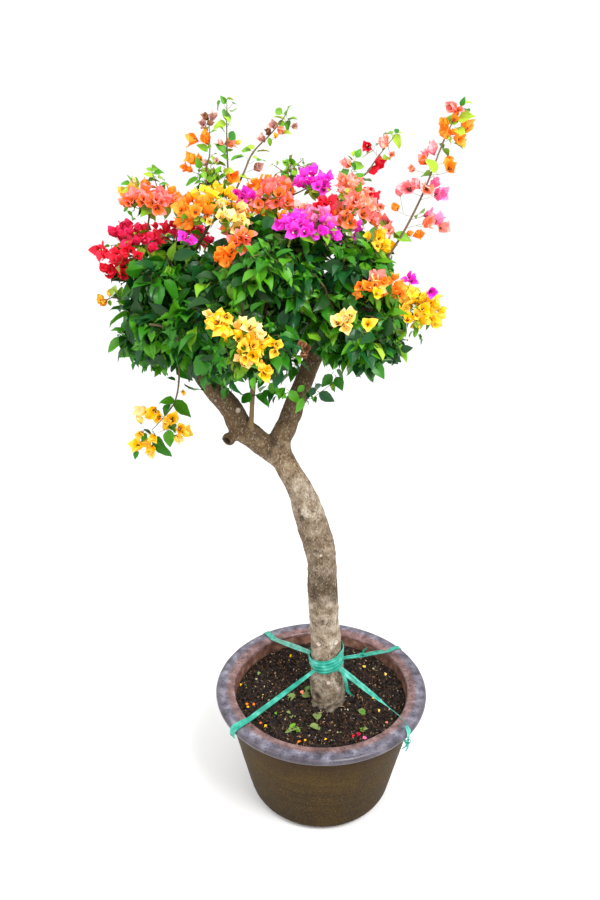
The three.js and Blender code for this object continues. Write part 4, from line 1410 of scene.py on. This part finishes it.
def grow_shoot(plan, wood, stems, leaf_pile, pile, stalks):
    """A long shoot: its stem, then its leaves and bell-shaped flowers on side stalks."""
    route = mm(*plan["stem"])
    count = int(np.linalg.norm(np.diff(route, axis=0), axis=1).sum() / SHOOT_STEP)
    path = flow(route, count)
    wood.reach(path[0])
    radii = np.interp(np.linspace(0, 1, count), np.linspace(0, 1, len(SHOOT_RADII)), SHOOT_RADII)
    stems.lay(*sweep(path, radii * plan["girth"], 7), YOUNG_WOOD)
    front = np.array([0.0, -0.6, 0.0])
    tones = plan.get("tones", TIP_TONES)
    reached = list(path)
    for x, z, size, colour in by_distance(path, plan["flowers"]):
        start, place = side_stalk(path, reached, x, z)
        facing = unit(0.8 * unit(place - start) + front + 0.3 * UP + 0.35 * rng.normal(size=3))
        long = BELL * size * MM
        foot = place - facing * SUNK * long
        bear_one(pile, stalks, start, foot, facing, long, colour, BELL_FLOWERS)
        reached.append(0.4 * start + 0.6 * foot)
    for x, z, length in by_distance(path, plan["leaves"]):
        start, place = side_stalk(path, reached, x, z)
        long = ASLANT * length * MM
        droop = rng.uniform(0, plan.get("droop", 0.5))
        axis = unit(unit(place - start) - UP * droop + 0.3 * rng.normal(size=3))
        foot = place - axis * LEAF_MIDDLE * long
        knee = 0.5 * (start + foot) - 1.5 * MM * UP
        stalks.lay(*sweep(flow([start, knee, foot], 4), STALK, 3), GREEN_STEM)
        facing = 0.7 * UP + front + 0.45 * rng.normal(size=3)
        lay_leaf(leaf_pile, foot, axis, facing, long, rng.uniform(0.85, 1.1), LEAF[deal(tones)])


def knots_of(shoot):
    """The CAD's knots of leaves or bracts on a shoot."""
    return [node for node in sorted(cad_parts) if node.startswith(f"sprig_{shoot}_")]


# ---- Ribbon ties ----
TAPE_STRIPS = 10
PLEATS = 1.7  # folds across the ribbon
FILM = 0.3 * MM  # half the film's thickness, drawn thicker than life
WRAP_TURNS = 3.6
WRAP_START = 3.9  # its heading round the trunk, in radians
WRAP_HEIGHTS = (403 * MM, 440 * MM)
LIP_TOP = POT_HEIGHT + 1.6 * MM


def tape(path, facings, widths, pleat=0.9 * MM):
    """A ribbon bunched in long smooth pleats along a path, with its flat side facing the given ways."""
    path = np.asarray(path)
    widths = np.interp(np.linspace(0, 1, len(path)), np.linspace(0, 1, len(widths)), widths)
    shares = np.linspace(0.5, -0.5, TAPE_STRIPS)[:, None]
    start = rng.uniform(0, 6)
    headings = np.gradient(path, axis=0)
    rings = []
    for i, (place, heading, facing, width) in enumerate(zip(path, headings, facings, widths)):
        heading = unit(heading)
        facing = unit(facing - heading * facing.dot(heading))
        folds = np.cos(2 * math.pi * PLEATS * shares + start + 1.6 * math.sin(0.13 * i + start))
        depth = pleat * min(1.0, width / (9 * MM))
        strip = place + np.cross(facing, heading) * shares * width + facing * folds * depth
        rings.append(np.vstack([strip + facing * FILM, (strip - facing * FILM)[::-1]]))
    return np.vstack([*rings, path[:1], path[-1:]]), tube_faces(len(path), 2 * TAPE_STRIPS)


def tie_knot(pile, centre, size):
    """A small overhand knot: a trefoil of bunched ribbon."""
    t = np.linspace(0, 2 * math.pi, 40)
    loop = np.c_[np.sin(t) + 2 * np.sin(2 * t), -np.sin(3 * t), np.cos(t) - 2 * np.cos(2 * t)] / 3
    pile.lay(*tape(centre + loop * size, loop + 0.1, [5.5 * MM] * 3, 0.6 * MM), RIBBON)


def trunk_side(bark_tree, turn, height):
    """Where the bark is at a height, on the given heading from the trunk's middle."""
    middle = Vector((*trunk_centre(height), height))
    outward = Vector((math.cos(turn), math.sin(turn), 0))
    hit = bark_tree.ray_cast(middle + outward * 70 * MM, -outward)[0]
    return np.array(hit), np.array(outward)


def wrap_piece(bark_tree):
    """Ribbon wound more than three times round the trunk, each turn crossing a little over the last."""
    pile = Pile()
    count = 190
    path, facings = [], []
    for i in range(count):
        share = i / (count - 1)
        turn = share * WRAP_TURNS * 2 * math.pi + WRAP_START
        low, high = WRAP_HEIGHTS
        tilt = (3 + 7 * share) * MM
        height = low + share * (high - low) + tilt * math.cos(turn - 0.4)
        spot, outward = trunk_side(bark_tree, turn, height)
        path.append(spot + outward * (1.6 + 4.2 * share) * MM)
        facings.append(outward)
    pile.lay(*tape(path, facings, mm(13, 16, 14, 17, 14, 16)), RIBBON)
    pile.piece("ribbon_wrap", "ribbon", "tie_wrap")


# Each strap leaves the wrap at a turn and height, and meets the lip on a heading, in degrees and mm.
# Its widths run along it.
STRAPS = {
    "back_left": {"turn": 190, "height": 436, "heading": 124.7, "widths": (10, 14, 16, 17, 16, 14)},
    "front_left": {"turn": 222, "height": 398, "heading": 218.3, "widths": (8, 11, 12, 15, 21, 19)},
    "back_right": {"turn": 345, "height": 422, "heading": 33.9, "widths": (8, 10, 8, 9, 13, 15)},
    "front_right": {"turn": 318, "height": 404, "heading": 325.9, "widths": (14, 15, 13, 11, 2, 1.6)},
}


def strap_piece(name, plan, bark_tree):
    """One strap, pulled straight from the wrap to the lip, over it and a little way down outside."""
    pile = Pile()
    start, outward = trunk_side(bark_tree, math.radians(plan["turn"]), plan["height"] * MM)
    start = start + outward * 2 * MM
    heading = math.radians(plan["heading"])
    away = np.array([math.cos(heading), math.sin(heading), 0.0])
    # Over the lip: the reach from the pot's middle, and the rise from the lip's top, in mm.
    over = [(234, 0.2), (246, 1.2), (262, 0.8), (275, -0.4), (282, -6), (284, -14), (283.5, -24)]
    lip = [away * reach * MM + UP * (LIP_TOP + drop * MM) for reach, drop in over]
    count, over_count = 30, 18
    straight = [start + (lip[0] - start) * t for t in np.linspace(0, 1, count)]
    bent = flow(lip, over_count + 1)[1:]
    shown = np.array([0.0, -0.75, 0.65])
    facings = [shown * (1 - t**3) + UP * t**3 for t in np.linspace(0, 1, count)]
    facings += [UP * (1 - t) + away * t for t in np.minimum(np.linspace(0, 1.6, over_count), 1)]
    widths = mm(*plan["widths"])
    if name == "front_right":
        pile.lay(*tape(straight, facings[:count], widths), RIBBON)
        finish_front_right(pile, lip[0])
    else:
        pile.lay(*tape(np.vstack([straight, bent]), facings, widths), RIBBON)
    if name == "back_right":
        knot = straight[int(count * 0.42)] + UP * 2 * MM
        tie_knot(pile, knot, 7 * MM)
        meets = away * 238 * MM + UP * LIP_TOP - mm(14, -4, 0)
        second = [knot + (meets - knot) * t for t in np.linspace(0, 1, 12)]
        pile.lay(*tape(second, [shown] * 12, mm(5, 8, 4)), RIBBON)
        ends = [knot + mm(0, 0, 2), knot + mm(4, 0, 13), knot + mm(12, -2, 24)]
        pile.lay(*tape(flow(ends, 8), [np.array([0.0, -1.0, 0.0])] * 8, mm(4, 6, 3)), RIBBON)
    pile.piece("ribbon_" + name, "ribbon", "tie_" + name)


def finish_front_right(pile, inner_lip):
    """The worn strap: a flat remnant on the lip, a knot outside it, and a loose tail below the wrap."""
    top = LIP_TOP / MM
    thread = mm((206, -158, top + 0.6), (209, -172, top + 0.4))
    pile.lay(*sweep([inner_lip, *thread], 0.6 * MM, 5), RIBBON)
    flat = flow(mm((206, -166, top), (209, -180, top), (208, -192, top - 4), (206, -202, top - 14)), 14)
    out = unit(np.array([0.7, -0.72, 0.0]))
    pile.lay(*tape(flat, [UP * (1 - t) + out * t for t in np.linspace(0, 1, 14)], mm(8, 13, 9, 6)), RIBBON)
    knot = mm(204, -203, top - 15)
    tie_knot(pile, knot, 8 * MM)
    for drop in (mm(-12, -3, -18), mm(-4, -5, -24)):
        ends = flow([knot, knot + 0.5 * drop + out * 4 * MM, knot + drop], 8)
        pile.lay(*tape(ends, [out] * 8, mm(5, 7, 4)), RIBBON)
    tail = flow(mm((52, -66, 398), (61, -74, 378), (65, -73, 352), (74, -70, 334), (82, -66, 326)), 18)
    pile.lay(*tape(tail, [np.array([0.3, -1.0, 0.0])] * 18, mm(6, 8, 9, 6, 3)), RIBBON)


# ---- Litter on the soil ----
# Fallen leaves and bracts: x, y and length in mm, and colour. Each one's heading is left to chance.
LITTER = [
    (-216, 39, 9, "yellow"), (-210, 34, 7, "fresh"), (-196, -49, 11, "orange"),
    (-182, -49, 10, "orange"), (-188, -56, 8, "yellow"), (-140, -120, 10, "yellow"),
    (-152, -114, 8, "orange"), (-51, -175, 13, "orange"), (-44, -181, 9, "yellow"),
    (-121, -75, 9, "fresh"), (-72, 4, 32, "dull"), (-48, 22, 36, "dull"), (-56, -12, 26, "dull"),
    (-53, 8, 15, "salmon"), (-30, 30, 26, "mid"), (-79, -137, 24, "fresh"), (-50, -130, 40, "dull"),
    (-38, -124, 34, "dull"), (-12, -112, 34, "dull"), (-64, -150, 22, "fresh"), (-92, -72, 14, "dull"),
    (-77, -98, 18, "dull"), (-120, -94, 14, "teal"), (126, 39, 26, "bright"), (120, 26, 20, "fresh"),
    (91, -65, 28, "dull"), (98, -82, 22, "bright"), (110, -144, 20, "fresh"), (118, -136, 16, "dull"),
    (88, -162, 17, "crimson"), (97, -168, 13, "pink"), (80, -158, 9, "red"), (197, 130, 20, "faded"),
    (132, 108, 14, "cream"), (168, -118, 11, "salmon"), (187, 88, 10, "cream"), (0, -118, 11, "faded"),
    (-153, -2, 8, "cream"), (-113, 123, 12, "brown"), (150, 60, 13, "brown"), (60, 150, 11, "faded"),
    (-80, 160, 12, "yellow"), (-170, 90, 13, "dull"), (20, 190, 16, "dull"), (136, -20, 8, "yellow"),
    (150, -62, 9, "cream"), (12, -170, 8, "yellow"), (40, -150, 9, "dull"),
]


def litter_piece():
    """The fallen leaves and bracts, lying on the crumbs."""
    pile = Pile()
    for x, y, length, colour in LITTER:
        turn = rng.uniform(0, 2 * math.pi)
        place = mm(x, y, 0) + UP * (soil_height(x * MM, y * MM) + 3.5 * MM)
        axis = np.array([math.cos(turn), math.sin(turn), rng.uniform(-0.1, 0.15)])
        finish = LEAF[colour] if colour in LEAF else BRACT[colour][BLADE - THROAT]
        lay_leaf(pile, place, axis, UP + 0.3 * rng.normal(size=3), length * MM, 1.1, finish)
    pile.piece("fallen_leaves_and_bracts", "leaf")


# ---- Putting it together ----
def grow_plant(limb_ends):
    """Grows the crown and its shoots on the limbs, and shows each kind of growth as its own pieces."""
    wood = Wood()
    # Boughs leave a limb from its upper half.
    for route in limb_ends:
        path = flow(route, 21)
        for i in (12, 16, 20):
            wood.root(path[i], path[i] - path[i - 1])
    shoot_names = ["shoot_" + name for name in SHOOTS]
    greens = {name: Pile() for name in [*MASSES, "among_bracts", "under_crown", *shoot_names]}
    blooms = {name: Pile() for name in [*MASSES, "small_clusters", *shoot_names]}
    boughs, twigs, stalks, stems = Pile(), Pile(), Pile(), Pile()
    grow_crown(wood, greens, blooms, stalks)
    for name, plan in SHOOTS.items():
        grow_shoot(plan, wood, stems, greens["shoot_" + name], blooms["shoot_" + name], stalks)
    wood.lay(boughs, twigs)
    boughs.piece("crown_boughs", "bark")
    twigs.piece("crown_twigs", "twig")
    stalks.piece("flower_stalks", "twig")
    stems.piece("shoot_stems", "twig", *[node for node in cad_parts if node.startswith("shoot_")])
    for name, pile in greens.items():
        title = "leaves_" + name.replace("foliage_", "").replace("leaves_", "tuft_")
        shoot = name.replace("shoot_", "")
        leafy_knots = [] if shoot in BRACT_KNOTS else knots_of(shoot)
        if pile.count:
            pile.piece(title, "leaf", *([name] if name in MASSES else leafy_knots))
    for name, pile in blooms.items():
        if pile.count:
            shoot = name.replace("shoot_", "")
            colour = BRACT_KNOTS.get(shoot) or (name.split("_")[1] if name in MASSES else "orange")
            nodes = [name] if name in MASSES else knots_of(shoot) if shoot in BRACT_KNOTS else []
            pile.piece("bracts_" + name.replace("bloom_", ""), colour + "_bract", *nodes)


pot_piece()
soil_piece()
crumbs_piece()
litter_piece()
bark_tree = bark_piece()
wrap_piece(bark_tree)
for name, plan in STRAPS.items():
    strap_piece(name, plan, bark_tree)
grow_plant([LEFT_ROUTE, RIGHT_ROUTE, STEM_ROUTE])

# ---- Floor, light and camera ----
FLOOR_REACH = 30.0
floor_mesh = bpy.data.meshes.new("floor")
corners = [(x * FLOOR_REACH, y * FLOOR_REACH, 0) for x, y in ((-1, -1), (1, -1), (1, 1), (-1, 1))]
floor_mesh.from_pydata(corners, [], [(0, 1, 2, 3)])
floor = bpy.data.objects.new("floor", floor_mesh)
bpy.context.scene.collection.objects.link(floor)
floor_mesh.materials.append(FINISHES[plain_finish("pale_floor", "#fefefe", 0.9, 0.1)])

scene = bpy.context.scene
scene.view_settings.view_transform = "Standard"
world = bpy.data.worlds.new("soft_studio")
world.use_nodes = True
world.node_tree.nodes["Background"].inputs["Color"].default_value = paint("#ffffff")
world.node_tree.nodes["Background"].inputs["Strength"].default_value = 1.06
scene.world = world


def soft_box(name, place, target, size, power):
    lamp = bpy.data.lights.new(name, "AREA")
    lamp.shape = "SQUARE"
    lamp.size = size
    lamp.energy = power
    made = bpy.data.objects.new(name, lamp)
    made.location = place
    made.rotation_euler = (Vector(target) - Vector(place)).to_track_quat("-Z", "Y").to_euler()
    scene.collection.objects.link(made)


soft_box("key_light", (1.2, -1.7, 3.3), (-0.1, 0.0, 1.1), 1.2, 85)
soft_box("side_light", (-2.2, -1.0, 2.6), (-0.1, 0.0, 1.1), 1.4, 18)

CAMERA_PLACE = (-56 * MM, -1550 * MM, 1550 * MM)
CAMERA_DOWN = 20.2  # degrees below level
lens = bpy.data.cameras.new("camera")
lens.sensor_fit = "VERTICAL"
lens.sensor_height = 36
lens.lens = 28
camera = bpy.data.objects.new("camera", lens)
camera.location = CAMERA_PLACE
camera.rotation_euler = (math.radians(90 - CAMERA_DOWN), 0, 0)
scene.collection.objects.link(camera)
scene.camera = camera
